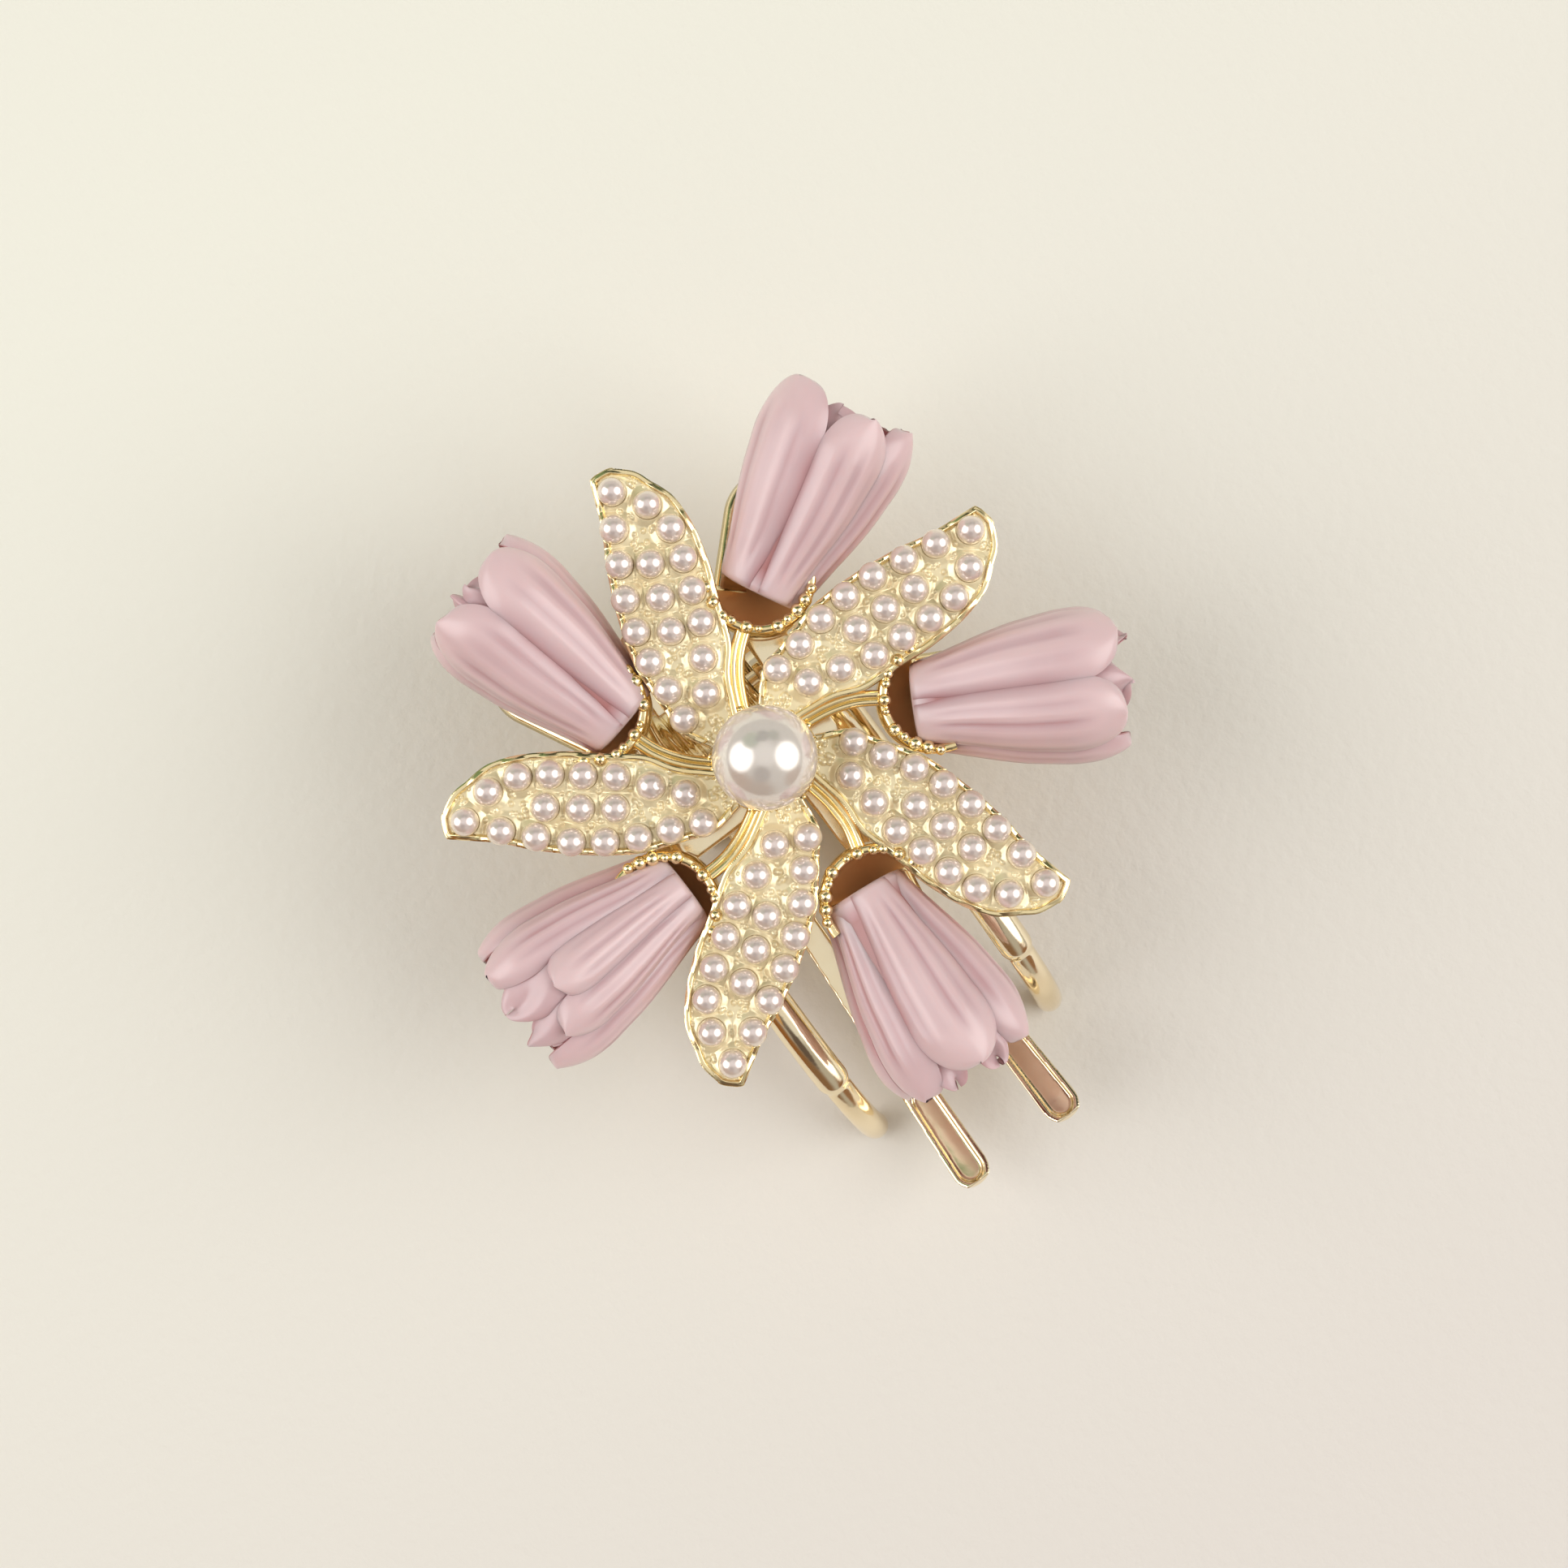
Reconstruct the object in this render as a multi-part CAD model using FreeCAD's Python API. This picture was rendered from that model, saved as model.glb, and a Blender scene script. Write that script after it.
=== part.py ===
import FreeCAD, Part
import math
import os

# Flower hair clip: a cast, gold-plated flower with five pearl-set petals, five resin tulip buds
# and one large pearl, carried on the upper jaw of a small sprung two-jaw hair clip.
# Drawn about the flower's axis: +Z up out of the flower, the hinge along X, the teeth towards -Y.
# All lengths in millimetres, angles in degrees. The finished set is moved so that the origin is
# the middle of its footprint, at the bottom.

V = FreeCAD.Vector

# ---- layout of the flower ------------------------------------------------------------------
SECTORS = 5                    # petals, buds and cups alternate round the hub
PITCH = 360.0 / SECTORS
PETAL_ANGLE = 84.0             # direction of the first petal's tip
CUP_ANGLE = 55.9               # direction of the first cup, between the first two petals

# ---- petals --------------------------------------------------------------------------------
PETAL_TIP_R = 25.2             # hub axis to petal tip
PETAL_W = 8.0                  # widest part of the blade
RIM_H = 0.4                    # raised rim round the pearl field
RIM_W = 0.45                   # width of that rim
SKIRT_H = 2.4                  # whole height of the petal's side wall
SKIN_T = 1.2                   # metal under the pearl field
SKIRT_W = 0.9                  # thickness of the side wall round the hollow back
# blade outline: share of the tip radius, then left and right edges as shares of the width
BLADE = (
    (0.110, -0.400, -0.060), (0.200, -0.588, 0.025), (0.275, -0.606, 0.112),
    (0.350, -0.625, 0.262), (0.424, -0.638, 0.331), (0.500, -0.606, 0.388),
    (0.575, -0.556, 0.456), (0.660, -0.481, 0.506), (0.760, -0.369, 0.528),
    (0.840, -0.256, 0.488), (0.900, -0.200, 0.388), (0.955, -0.150, 0.281),
)
TIP_LEFT = -0.115              # blunt tip's corners and crown, as shares of the width
TIP_RIGHT = 0.120
TIP_SHOULDER = 0.992           # share of the tip radius where the blunt tip's corners lie

# ---- pearls --------------------------------------------------------------------------------
PEARL_D = 2.25                 # small pearls
PEARL_SINK = 0.45              # how far a small pearl sits in its seat
GLUE_GAP = 0.03                # film of glue round a seated pearl or bud
PEARL_GAP = 0.28               # between neighbours along the left and middle rows
PEARL_GAP_RIGHT = 0.20         # between neighbours along the right row
TIP_PEARL_DOWN = 1.8           # first pearl's centre below the petal's tip
TIP_PEARL_X = 0.1
LEFT_ROW_DOWN = 4.35           # first pearl of the left row below the tip
RIGHT_ROW_DOWN = 4.0
MID_ROW_DOWN = 8.0
ROW_END_R = 5.3                # the left row ends at this distance from the hub's axis
ROW_END_R_RIGHT = 6.2
MID_ROW_END_R = 11.4
# gap between an edge of the blade and the row beside it, by share of the tip radius; a little
# below nothing where the pearls lap over the rim
LEFT_MARGIN = ((0.20, -0.27), (0.32, 0.02), (0.42, 0.08), (0.52, -0.07), (0.63, -0.17),
               (0.73, -0.07), (0.83, -0.12))
RIGHT_MARGIN = ((0.25, 0.97), (0.34, 1.37), (0.44, 0.68), (0.53, 0.72), (0.63, 0.62),
                (0.74, 0.47), (0.84, 0.82))
CENTRE_PEARL_D = 8.0
CENTRE_SINK = 0.4

# ---- hub, arms and cups --------------------------------------------------------------------
HUB_R = 4.1
HUB_DOWN = 0.2                 # hub's top below the pearl field
HUB_H = 2.4
BOSS_R = 2.6                   # post between the hub and the upper jaw
PEG_R = 0.5                    # cast peg inside the half-drilled centre pearl
PEG_H = 3.4
PEG_FIT = 0.05
PEG_END_GAP = 0.3              # over the peg's end, inside the pearl
ARM_W = 1.0                    # curved arm that follows each petal's right edge out to a cup
ARM_H = 1.7
ARM_DOWN = 0.4                 # arms' top below the pearl field
CUP_R = 13.9                   # hub axis to cup centre
CUP_IN_R = 3.7                 # inside of the cup wall
CUP_WALL = 0.7
CUP_UP = 0.1                   # cup's edge above the pearl field
CUP_CLEAR = 0.4                # under the cups, over the clip's rails
CUP_FLOOR_T = 0.45
CUP_OPEN = 1.0                 # how far past the cup's centre its wall runs on the open side
SCALLOPS = 7                   # beads along the cup's top edge
SCALLOP_R = 0.48
SEPAL_T = 0.8                  # trough under each bud
SEPAL_LEN = 9.0
SEPAL_DROP = 3.0               # the trough's edges lie this far below the bud's axis
SEPAL_HALF_W = 3.9             # half the trough's width
SEPAL_LEAN = -10.0             # the trough leans from the cup's own direction

# ---- buds ----------------------------------------------------------------------------------
BUD_LEN = 16.5
BUD_BASE_R = 3.6
BUD_MAX_R = 6.45
BUD_BED = 0.05                 # how far the base beds into the cup's floor
BUD_TO_FIELD = 2.4             # bud's axis at its base, below the pearl field
BUD_PITCH = 6.0                # buds look up by this much
BUD_WALL = 1.1                 # thickness of the outer petals
BUD_INNER_WALL = 0.8           # thickness of the inner petals
BUD_INNER_GAP = 0.25           # between outer and inner petals
BUD_CORE = 8.0                 # solid resin from the base to here
BUD_SPLIT = 9.5                # the outer petals part from here on
BUD_INNER_LEN = 15.6
BUD_HOLLOW = 12.0              # the mouth is open from here on; below it the bud is solid
BUD_INNER_SPLIT = 9.0
BUD_LOBES = 3
# each bud is glued in by hand: base centre (x, y), direction, roll
BUDS = (
    (7.21, 10.57, 27.7, 115.0),
    (11.65, -3.55, -28.2, 120.0),
    (0.06, -12.62, -92.3, 190.0),
    (-10.86, -4.24, -178.7, 175.0),
    (-7.0, 8.64, 103.5, 123.0),
)
# bud outline: share of the length, share of the way from base radius to widest radius
BUD_SHAPE = (
    (0.00, 0.000), (0.12, 0.190), (0.24, 0.400), (0.36, 0.610), (0.485, 0.790),
    (0.61, 0.910), (0.73, 1.000), (0.85, 0.950), (0.94, 0.800), (1.00, 0.620),
)

# ---- clip: common --------------------------------------------------------------------------
CLIP_X = -1.75                 # the clip's middle plane, a little off the flower's axis
HINGE_Y = 5.6
HINGE_Z = 7.5
EAR_R = 2.4
PIN_R = 1.0
PIN_FIT = 0.05                 # running clearance in the lower jaw's ears
PIN_HEAD_R = 1.7
PIN_HEAD_T = 0.6
EAR_T = 1.5
EAR_GAP = 0.3                  # between neighbouring ears, and between ears and spring
LEVER_END_Y = 15.0
LEVER_HALF_W = 3.3

# ---- upper jaw -----------------------------------------------------------------------------
PLATE_CLEAR = 0.6              # under the upper plate, over the lower jaw's ears
PLATE_T = 1.4
PAD_LIP = 0.6                  # the pad runs this far past the flower's post
PLATE_BACK = 3.4               # plate's back edge behind the hinge
SLOT_CLEAR = 0.15              # opening over the spring, round the coil
SLOT_SIDE = 1.0
UPPER_LEVER_TILT = 7.0
LEVER_LAP = 1.2                # the tilted lever starts inside the plate by this much
RAIL_X = 9.2                   # middle plane to rail
RAIL_R = 1.4
RAIL_BACK_Y = 5.0
RAIL_BEND_Y = -17.5            # the rails start to bend down here
TINE_R = 1.15                  # the tines are thinner than the rails, past a round shoulder
SHOULDER_STEP = 3              # the shoulder's place along the bend, of BEND_STEPS
BEND_STEPS = 8
BEND_TURN = 78.0
TINE_TIP_Y = -31.45            # where the tines end
TINE_TIP_X = 9.1

# ---- lower jaw -----------------------------------------------------------------------------
FINGER_X = 4.56                # middle plane to a finger's tip
FINGER_ROOT_X = 3.5            # and to its root
FINGER_W = 3.2                 # at the spoon-shaped tip
FINGER_ROOT_W = 2.2
FINGER_T = 1.8
FINGER_FLAT_Y = -14.0          # the fingers lie flat up to here, then rise
FINGER_TIP_Y = -38.4
FINGER_RISE = 6.2
GROOVE_RIM = 0.5
GROOVE_D = 0.6
GROOVE_BACK_Y = -30.6          # the grooves lie near the fingers' tips
BRIDGE_FRONT_Y = -3.0
BRIDGE_T = 1.4
COIL_CLEAR = 0.45              # over the bridge, under the coil

# ---- spring --------------------------------------------------------------------------------
WIRE_R = 0.45
COIL_R = 2.3                   # to the wire's centre
COIL_HALF = 4.4                # half the coil's length, between its end turns
COIL_TURNS = 9
LEG_LEN = 7.0
LEG_LEAN = 1.8                 # the legs' ends lean in by this much
LEG_CLEAR = 0.12               # between a leg and the lever it lies on

# ---- heights and places that follow from the sizes above ------------------------------------
PLATE_Z = HINGE_Z + EAR_R + PLATE_CLEAR            # underside of the upper plate
RAIL_Z = PLATE_Z + PLATE_T / 2
CUP_FLOOR_Z = RAIL_Z + RAIL_R + CUP_CLEAR
BUD_BASE_Z = CUP_FLOOR_Z + CUP_FLOOR_T + BUD_BASE_R - BUD_BED
PETAL_FLOOR_Z = BUD_BASE_Z + BUD_TO_FIELD          # top of the pearl field
HUB_TOP_Z = PETAL_FLOOR_Z - HUB_DOWN
ARM_TOP_Z = PETAL_FLOOR_Z - ARM_DOWN
CUP_TOP_Z = PETAL_FLOOR_Z + CUP_UP
COIL_OUT_R = COIL_R + WIRE_R
PAD_FRONT_Y = -BOSS_R - PAD_LIP
PLATE_BACK_Y = HINGE_Y + PLATE_BACK
SLOT_FRONT_Y = HINGE_Y - COIL_OUT_R - SLOT_CLEAR
SLOT_BACK_Y = HINGE_Y + COIL_OUT_R + SLOT_CLEAR
SLOT_HALF_W = COIL_HALF + WIRE_R + SLOT_SIDE
ARCH_Z = HINGE_Z - COIL_OUT_R - COIL_CLEAR - BRIDGE_T / 2   # mid-height of the bridge's arch
ARCH_FRONT_Y = HINGE_Y - COIL_OUT_R + 0.15
ARCH_BACK_Y = HINGE_Y + COIL_OUT_R + 0.25


def box(x0, x1, y0, y1, z0, z1):
    """Block between two corners."""
    return Part.makeBox(x1 - x0, y1 - y0, z1 - z0, V(x0, y0, z0))


def spline(points):
    """Smooth curve through points."""
    curve = Part.BSplineCurve()
    curve.interpolate(points)
    return curve


def turned(shape, degrees, axis=V(0, 0, 1), at=V(0, 0, 0)):
    """Copy of a shape turned about an axis."""
    copy = shape.copy()
    copy.rotate(at, axis, degrees)
    return copy


def moved(shape, x, y, z):
    """Copy of a shape moved by x, y, z."""
    copy = shape.copy()
    copy.translate(V(x, y, z))
    return copy


def tidy(shape):
    """Merges faces that lie on one surface."""
    return shape.removeSplitter()


def pick(table, share, column):
    """Value of a table's column at a share of its first column, by straight lines."""
    for low, high in zip(table, table[1:]):
        if low[0] <= share <= high[0]:
            t = (share - low[0]) / (high[0] - low[0])
            return low[column] + t * (high[column] - low[column])
    return table[0][column] if share < table[0][0] else table[-1][column]


# ---- petal blade ---------------------------------------------------------------------------
def blade_curve():
    """Open curve up the left edge, round the blunt tip and down the right edge."""
    length, width = PETAL_TIP_R, PETAL_W
    left = [V(s[1] * width, s[0] * length, 0) for s in BLADE]
    right = [V(s[2] * width, s[0] * length, 0) for s in reversed(BLADE)]
    tip = [
        V(TIP_LEFT * width, TIP_SHOULDER * length, 0),
        V(0.5 * (TIP_LEFT + TIP_RIGHT) * width, length, 0),
        V(TIP_RIGHT * width, (TIP_SHOULDER + 0.003) * length, 0),
    ]
    return spline(left + tip + right)


def blade_face(inset):
    """Flat face of the blade, drawn in from its outline by inset."""
    curve = blade_curve()
    first, last = curve.FirstParameter, curve.LastParameter
    count = 44
    points = []
    for i in range(count + 1):
        u = first + (last - first) * i / count
        at, along = curve.value(u), curve.tangent(u)[0]
        # the curve runs clockwise, so its inside lies to the right of the way it runs
        points.append(V(at.x + along.y * inset, at.y - along.x * inset, 0))
    if inset:
        root = BLADE[0][0] * PETAL_TIP_R + inset
        points[0] = V(points[0].x, root, 0)
        points[-1] = V(points[-1].x, root, 0)
    edge = spline(points).toShape()
    close = Part.makeLine(points[-1], points[0])
    return Part.Face(Part.Wire([edge, close]))


def prism(face, z0, z1):
    """Upright solid on a flat face."""
    return moved(face, 0, 0, z0).extrude(V(0, 0, z1 - z0))


def pearl_places():
    """Centres of one petal's pearls, in the petal's own frame (tip along +Y)."""
    r = PEARL_D / 2

    def left_x(y):
        share = y / PETAL_TIP_R
        return pick(BLADE, share, 1) * PETAL_W + r + pick(LEFT_MARGIN, share, 1)

    def right_x(y):
        share = y / PETAL_TIP_R
        return pick(BLADE, share, 2) * PETAL_W - r - pick(RIGHT_MARGIN, share, 1)

    places = [(TIP_PEARL_X, PETAL_TIP_R - TIP_PEARL_DOWN)]
    y = PETAL_TIP_R - LEFT_ROW_DOWN
    while y >= ROW_END_R:
        places.append((left_x(y), y))
        y -= PEARL_D + PEARL_GAP
    y = PETAL_TIP_R - RIGHT_ROW_DOWN
    while y >= ROW_END_R_RIGHT:
        places.append((right_x(y), y))
        y -= PEARL_D + PEARL_GAP_RIGHT
    y = PETAL_TIP_R - MID_ROW_DOWN
    while y >= MID_ROW_END_R:
        places.append((0.5 * (left_x(y) + right_x(y)), y))
        y -= PEARL_D + 1.3 * PEARL_GAP
    return places


def pearl_ball(x, y, extra=0.0):
    """Small pearl, or its seat when extra is the glue gap."""
    r = PEARL_D / 2 + extra
    return Part.makeSphere(r, V(x, y, PETAL_FLOOR_Z + PEARL_D / 2 - PEARL_SINK))


def petal():
    """One cast petal: side wall, raised rim, pearl seats, hollow back."""
    top = PETAL_FLOOR_Z + RIM_H
    body = prism(blade_face(0.0), top - SKIRT_H, top)
    body = body.cut(prism(blade_face(RIM_W), PETAL_FLOOR_Z, top + 1))
    hollow = prism(blade_face(SKIRT_W), top - SKIRT_H - 1, PETAL_FLOOR_Z - SKIN_T)
    keep_root = Part.makeCylinder(HUB_R + 1.2, 20, V(0, 0, 8))
    body = body.cut(hollow.cut(keep_root))
    seats = [pearl_ball(x, y, GLUE_GAP) for x, y in pearl_places()]
    return body.cut(Part.makeCompound(seats))


# ---- buds ----------------------------------------------------------------------------------
def bud_radius(s, extra=0.0):
    """Radius of the bud's outside at a distance s from its base."""
    share = pick(BUD_SHAPE, s / BUD_LEN, 1)
    return BUD_BASE_R + (BUD_MAX_R - BUD_BASE_R) * share + extra


def turned_solid(s0, s1, extra):
    """Solid of revolution about Z between two distances, its side on the bud's outline."""
    steps = 10
    side = [V(bud_radius(s0 + (s1 - s0) * i / steps, extra), 0, s0 + (s1 - s0) * i / steps)
            for i in range(steps + 1)]
    wire = Part.Wire([
        spline(side).toShape(),
        Part.makeLine(side[-1], V(0, 0, s1)),
        Part.makeLine(V(0, 0, s1), V(0, 0, s0)),
        Part.makeLine(V(0, 0, s0), side[0]),
    ])
    return Part.Face(wire).revolve(V(0, 0, 0), V(0, 0, 1), 360)


def lobe_cutter(split, length, half_w, turn):
    """Upright leaf block that trims a shell to one petal with a rounded tip."""
    steps = 12
    edge = []
    for i in range(steps + 1):
        t = math.radians(90.0 * i / steps)
        edge.append((half_w * math.cos(t), split + (length - split) * math.sin(t)))
    low = BUD_CORE - 2.0
    points = [V(0, -half_w, low), V(0, half_w, low)]
    points += [V(0, y, z) for y, z in edge]
    points += [V(0, -y, z) for y, z in reversed(edge[:-1])]
    face = Part.Face(Part.makePolygon(points + [points[0]]))
    return turned(face.extrude(V(BUD_MAX_R + 3, 0, 0)), turn)


def bud(roll):
    """Resin tulip bud standing on the origin along +Z: core, outer petals, inner petals."""
    core = turned_solid(0, BUD_CORE, 0)
    low = BUD_CORE - 1.5
    outer = turned_solid(low, BUD_LEN, 0).cut(turned_solid(low - 1, BUD_LEN, -BUD_WALL))
    inside = -BUD_WALL - BUD_INNER_GAP
    inner = turned_solid(low, BUD_INNER_LEN, inside).cut(
        turned_solid(BUD_HOLLOW, BUD_INNER_LEN, inside - BUD_INNER_WALL))
    half = BUD_MAX_R * math.sin(math.radians(180.0 / BUD_LOBES))
    shapes = []
    for i in range(BUD_LOBES):
        turn = roll + 360.0 / BUD_LOBES * i
        shapes.append(outer.common(lobe_cutter(BUD_SPLIT, BUD_LEN, half, turn)))
        shapes.append(inner.common(lobe_cutter(
            BUD_INNER_SPLIT, BUD_INNER_LEN, half * 0.78, turn + 180.0 / BUD_LOBES)))
    return tidy(core.multiFuse(shapes))


def laid(shape, x, y, heading):
    """Lays a shape that stands on the origin along +Z down on a bud's axis."""
    flat = turned(shape, 90.0 - BUD_PITCH, V(0, 1, 0))
    return moved(turned(flat, heading), x, y, BUD_BASE_Z)


# ---- flower casting ------------------------------------------------------------------------
def arm():
    """Curved arm along a petal's right edge, in the petal's frame, from the hub to the cup."""
    centre = [V(PETAL_W * 0.020, PETAL_TIP_R * 0.135, 0), V(PETAL_W * 0.125, PETAL_TIP_R * 0.235, 0),
              V(PETAL_W * 0.270, PETAL_TIP_R * 0.315, 0), V(PETAL_W * 0.480, PETAL_TIP_R * 0.380, 0)]
    curve = spline(centre)
    sides = []
    for side in (ARM_W / 2, -ARM_W / 2):
        row = []
        for i in range(9):
            u = curve.FirstParameter + (curve.LastParameter - curve.FirstParameter) * i / 8
            at, along = curve.value(u), curve.tangent(u)[0]
            row.append(V(at.x + along.y * side, at.y - along.x * side, 0))
        sides.append(row)
    outer, inner = sides
    wire = Part.Wire([
        spline(outer).toShape(), Part.makeLine(outer[-1], inner[-1]),
        spline(list(reversed(inner))).toShape(), Part.makeLine(inner[0], outer[0]),
    ])
    return prism(Part.Face(wire), ARM_TOP_Z - ARM_H, ARM_TOP_Z)


def cup():
    """Open cup standing at CUP_R along +X: half-round wall, floor, beads along the top edge."""
    out_r = CUP_IN_R + CUP_WALL
    wall = Part.makeCylinder(out_r, CUP_TOP_Z - CUP_FLOOR_Z, V(CUP_R, 0, CUP_FLOOR_Z))
    bore = Part.makeCylinder(CUP_IN_R, CUP_TOP_Z - CUP_FLOOR_Z, V(CUP_R, 0, CUP_FLOOR_Z + CUP_FLOOR_T))
    wall = wall.cut(bore)
    wall = wall.cut(box(CUP_R + CUP_OPEN, CUP_R + 9, -9, 9, CUP_FLOOR_Z - 1, CUP_TOP_Z + 1))
    beads = []
    for i in range(SCALLOPS):
        a = math.radians(180 - 62 + 124.0 * i / (SCALLOPS - 1))
        mid = CUP_IN_R + CUP_WALL / 2
        beads.append(Part.makeSphere(
            SCALLOP_R, V(CUP_R + mid * math.cos(a), mid * math.sin(a), CUP_TOP_Z)))
    return wall.multiFuse(beads)


def sepal():
    """Trough that follows a bud's underside, laid along +X from the cup's centre."""
    shell = turned_solid(0.2, SEPAL_LEN, 2 * GLUE_GAP + SEPAL_T).cut(
        turned_solid(0.0, SEPAL_LEN + 1, 2 * GLUE_GAP))
    flat = turned(shell, 90.0 - BUD_PITCH, V(0, 1, 0))
    flat = flat.common(box(-2, 2 * SEPAL_LEN, -SEPAL_HALF_W, SEPAL_HALF_W, -20, -SEPAL_DROP))
    return moved(turned(flat, SEPAL_LEAN), CUP_R - 1.6, 0, BUD_BASE_Z)


def flower_casting():
    """Hub, five petals, five arms, five cups with their troughs, boss and peg, in one piece."""
    hub = Part.makeCylinder(HUB_R, HUB_H, V(0, 0, HUB_TOP_Z - HUB_H))
    boss = Part.makeCylinder(BOSS_R, HUB_TOP_Z - PLATE_Z - PLATE_T, V(0, 0, PLATE_Z + PLATE_T))
    seat = Part.makeSphere(CENTRE_PEARL_D / 2 + GLUE_GAP, V(0, 0, centre_pearl_z()))
    peg = Part.makeCylinder(PEG_R, PEG_H + 1.0, V(0, 0, HUB_TOP_Z - 1.0))
    one_petal = petal().fuse(arm())
    one_cup = cup().fuse(sepal())
    parts = []
    for i in range(SECTORS):
        parts.append(turned(one_petal, PETAL_ANGLE - 90 - PITCH * i))
        parts.append(turned(one_cup, CUP_ANGLE - PITCH * i))
    body = hub.multiFuse([boss] + parts)
    cutters = [seat]
    for x, y, heading, roll in BUDS:
        cutters.append(laid(turned_solid(-0.0, BUD_LEN, GLUE_GAP), x, y, heading))
    # the pearl seats are cut again, because a neighbouring petal or cup may have filled one
    for i in range(SECTORS):
        for x, y in pearl_places():
            cutters.append(turned(pearl_ball(x, y, GLUE_GAP), PETAL_ANGLE - 90 - PITCH * i))
    body = body.cut(Part.makeCompound(cutters)).fuse(peg)
    solids = sorted(body.Solids, key=lambda s: -s.Volume)
    return solids[0]


def centre_pearl_z():
    """Height of the centre pearl's middle."""
    return HUB_TOP_Z - CENTRE_SINK + CENTRE_PEARL_D / 2


def centre_pearl():
    """Half-drilled pearl on the hub's peg."""
    ball = Part.makeSphere(CENTRE_PEARL_D / 2, V(0, 0, centre_pearl_z()))
    hole = Part.makeCylinder(PEG_R + PEG_FIT, PEG_H + 1.0 + PEG_END_GAP, V(0, 0, HUB_TOP_Z - 1.0))
    return ball.cut(hole)


def petal_pearls(i):
    """The pearls of one petal, each its own solid."""
    balls = [pearl_ball(x, y) for x, y in pearl_places()]
    return turned(Part.makeCompound(balls), PETAL_ANGLE - 90 - PITCH * i)


# ---- clip ----------------------------------------------------------------------------------
def ear(x_mid, z_far):
    """Hinge ear: round end on the pin's axis, neck up or down to z_far."""
    x0, x1 = CLIP_X + x_mid - EAR_T / 2, CLIP_X + x_mid + EAR_T / 2
    eye = Part.makeCylinder(EAR_R, EAR_T, V(x0, HINGE_Y, HINGE_Z), V(1, 0, 0))
    low, high = min(z_far, HINGE_Z), max(z_far, HINGE_Z)
    return eye.fuse(box(x0, x1, HINGE_Y - EAR_R, HINGE_Y + EAR_R, low, high))


def hole_through(radius):
    """Bore on the pin's axis, longer than the clip is wide."""
    return Part.makeCylinder(radius, 40, V(CLIP_X - 20, HINGE_Y, HINGE_Z), V(1, 0, 0))


def lower_ear_x():
    return COIL_HALF + WIRE_R + EAR_GAP + EAR_T / 2


def upper_ear_x():
    return lower_ear_x() + EAR_T + EAR_GAP


def rounded_end(half_w, y0, y1, corner):
    """Plan outline of a lever: straight sides, round corners at the far end, as a tall block."""
    body = box(CLIP_X - half_w, CLIP_X + half_w, y0, y1, -10, 40)
    edges = [e for e in body.Edges if len(e.Vertexes) == 2
             and abs(e.Vertexes[0].Y - y1) < 1e-6 and abs(e.Vertexes[1].Y - y1) < 1e-6
             and abs(e.Vertexes[0].X - e.Vertexes[1].X) < 1e-6]
    return body.makeFillet(corner, edges)


def rail_path(side):
    """Middle line of one rail and tine: straight, then bent down to the tip."""
    x0 = CLIP_X + side * RAIL_X
    x1 = CLIP_X + side * TINE_TIP_X
    drop = RAIL_Z - TINE_R
    run = RAIL_BEND_Y - TINE_TIP_Y - TINE_R
    end = math.radians(BEND_TURN)
    points = [V(x0, RAIL_BACK_Y, RAIL_Z), V(x0, RAIL_BACK_Y * 0.5 + RAIL_BEND_Y * 0.5, RAIL_Z)]
    for i in range(BEND_STEPS + 1):
        a = end * i / BEND_STEPS
        share = math.sin(a) / math.sin(end)
        fall = (1 - math.cos(a)) / (1 - math.cos(end))
        points.append(V(x0 + (x1 - x0) * fall, RAIL_BEND_Y - run * share, RAIL_Z - drop * fall))
    return points


def tube(points, radius, lengths=1):
    """Round bar along a smooth line, swept in one or more lengths and joined."""
    curve = spline(points)
    first, last = curve.FirstParameter, curve.LastParameter
    bars = []
    for k in range(lengths):
        u0 = first + (last - first) * k / lengths
        u1 = first + (last - first) * (k + 1) / lengths
        ring = Part.Wire([Part.makeCircle(radius, curve.value(u0), curve.tangent(u0)[0])])
        bars.append(Part.Wire([curve.toShape(u0, u1)]).makePipeShell([ring], True, False))
    return bars[0].multiFuse(bars[1:]) if lengths > 1 else bars[0]


def upper_jaw():
    """Plate with the flower's pad, spring opening, two ears, thumb lever, two rails and tines."""
    top = PLATE_Z + PLATE_T
    plate = box(CLIP_X - RAIL_X, CLIP_X + RAIL_X, PAD_FRONT_Y, PLATE_BACK_Y, PLATE_Z, top)
    slot = box(CLIP_X - SLOT_HALF_W, CLIP_X + SLOT_HALF_W, SLOT_FRONT_Y, SLOT_BACK_Y,
               PLATE_Z - 1, top + 1)
    plate = plate.cut(slot)
    lever = rounded_end(LEVER_HALF_W, PLATE_BACK_Y - LEVER_LAP, LEVER_END_Y, 2.4)
    lever = lever.common(box(-30, 30, -50, 50, PLATE_Z, top))
    lever = turned(lever, UPPER_LEVER_TILT, V(1, 0, 0), V(0, PLATE_BACK_Y - LEVER_LAP / 2, PLATE_Z))
    shapes = [lever]
    for side in (-1, 1):
        shapes.append(ear(side * upper_ear_x(), PLATE_Z + 0.2))
        points = rail_path(side)
        shoulder = 2 + SHOULDER_STEP
        shapes.append(tube(points[:shoulder + 1], RAIL_R))
        shapes.append(Part.makeSphere(RAIL_R, points[shoulder]))
        shapes.append(tube(points[shoulder:], TINE_R))
        shapes.append(Part.makeSphere(TINE_R, points[-1]))
        shapes.append(Part.makeSphere(RAIL_R, points[0]))
    body = plate.multiFuse(shapes)
    return tidy(body.cut(hole_through(PIN_R)))


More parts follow.
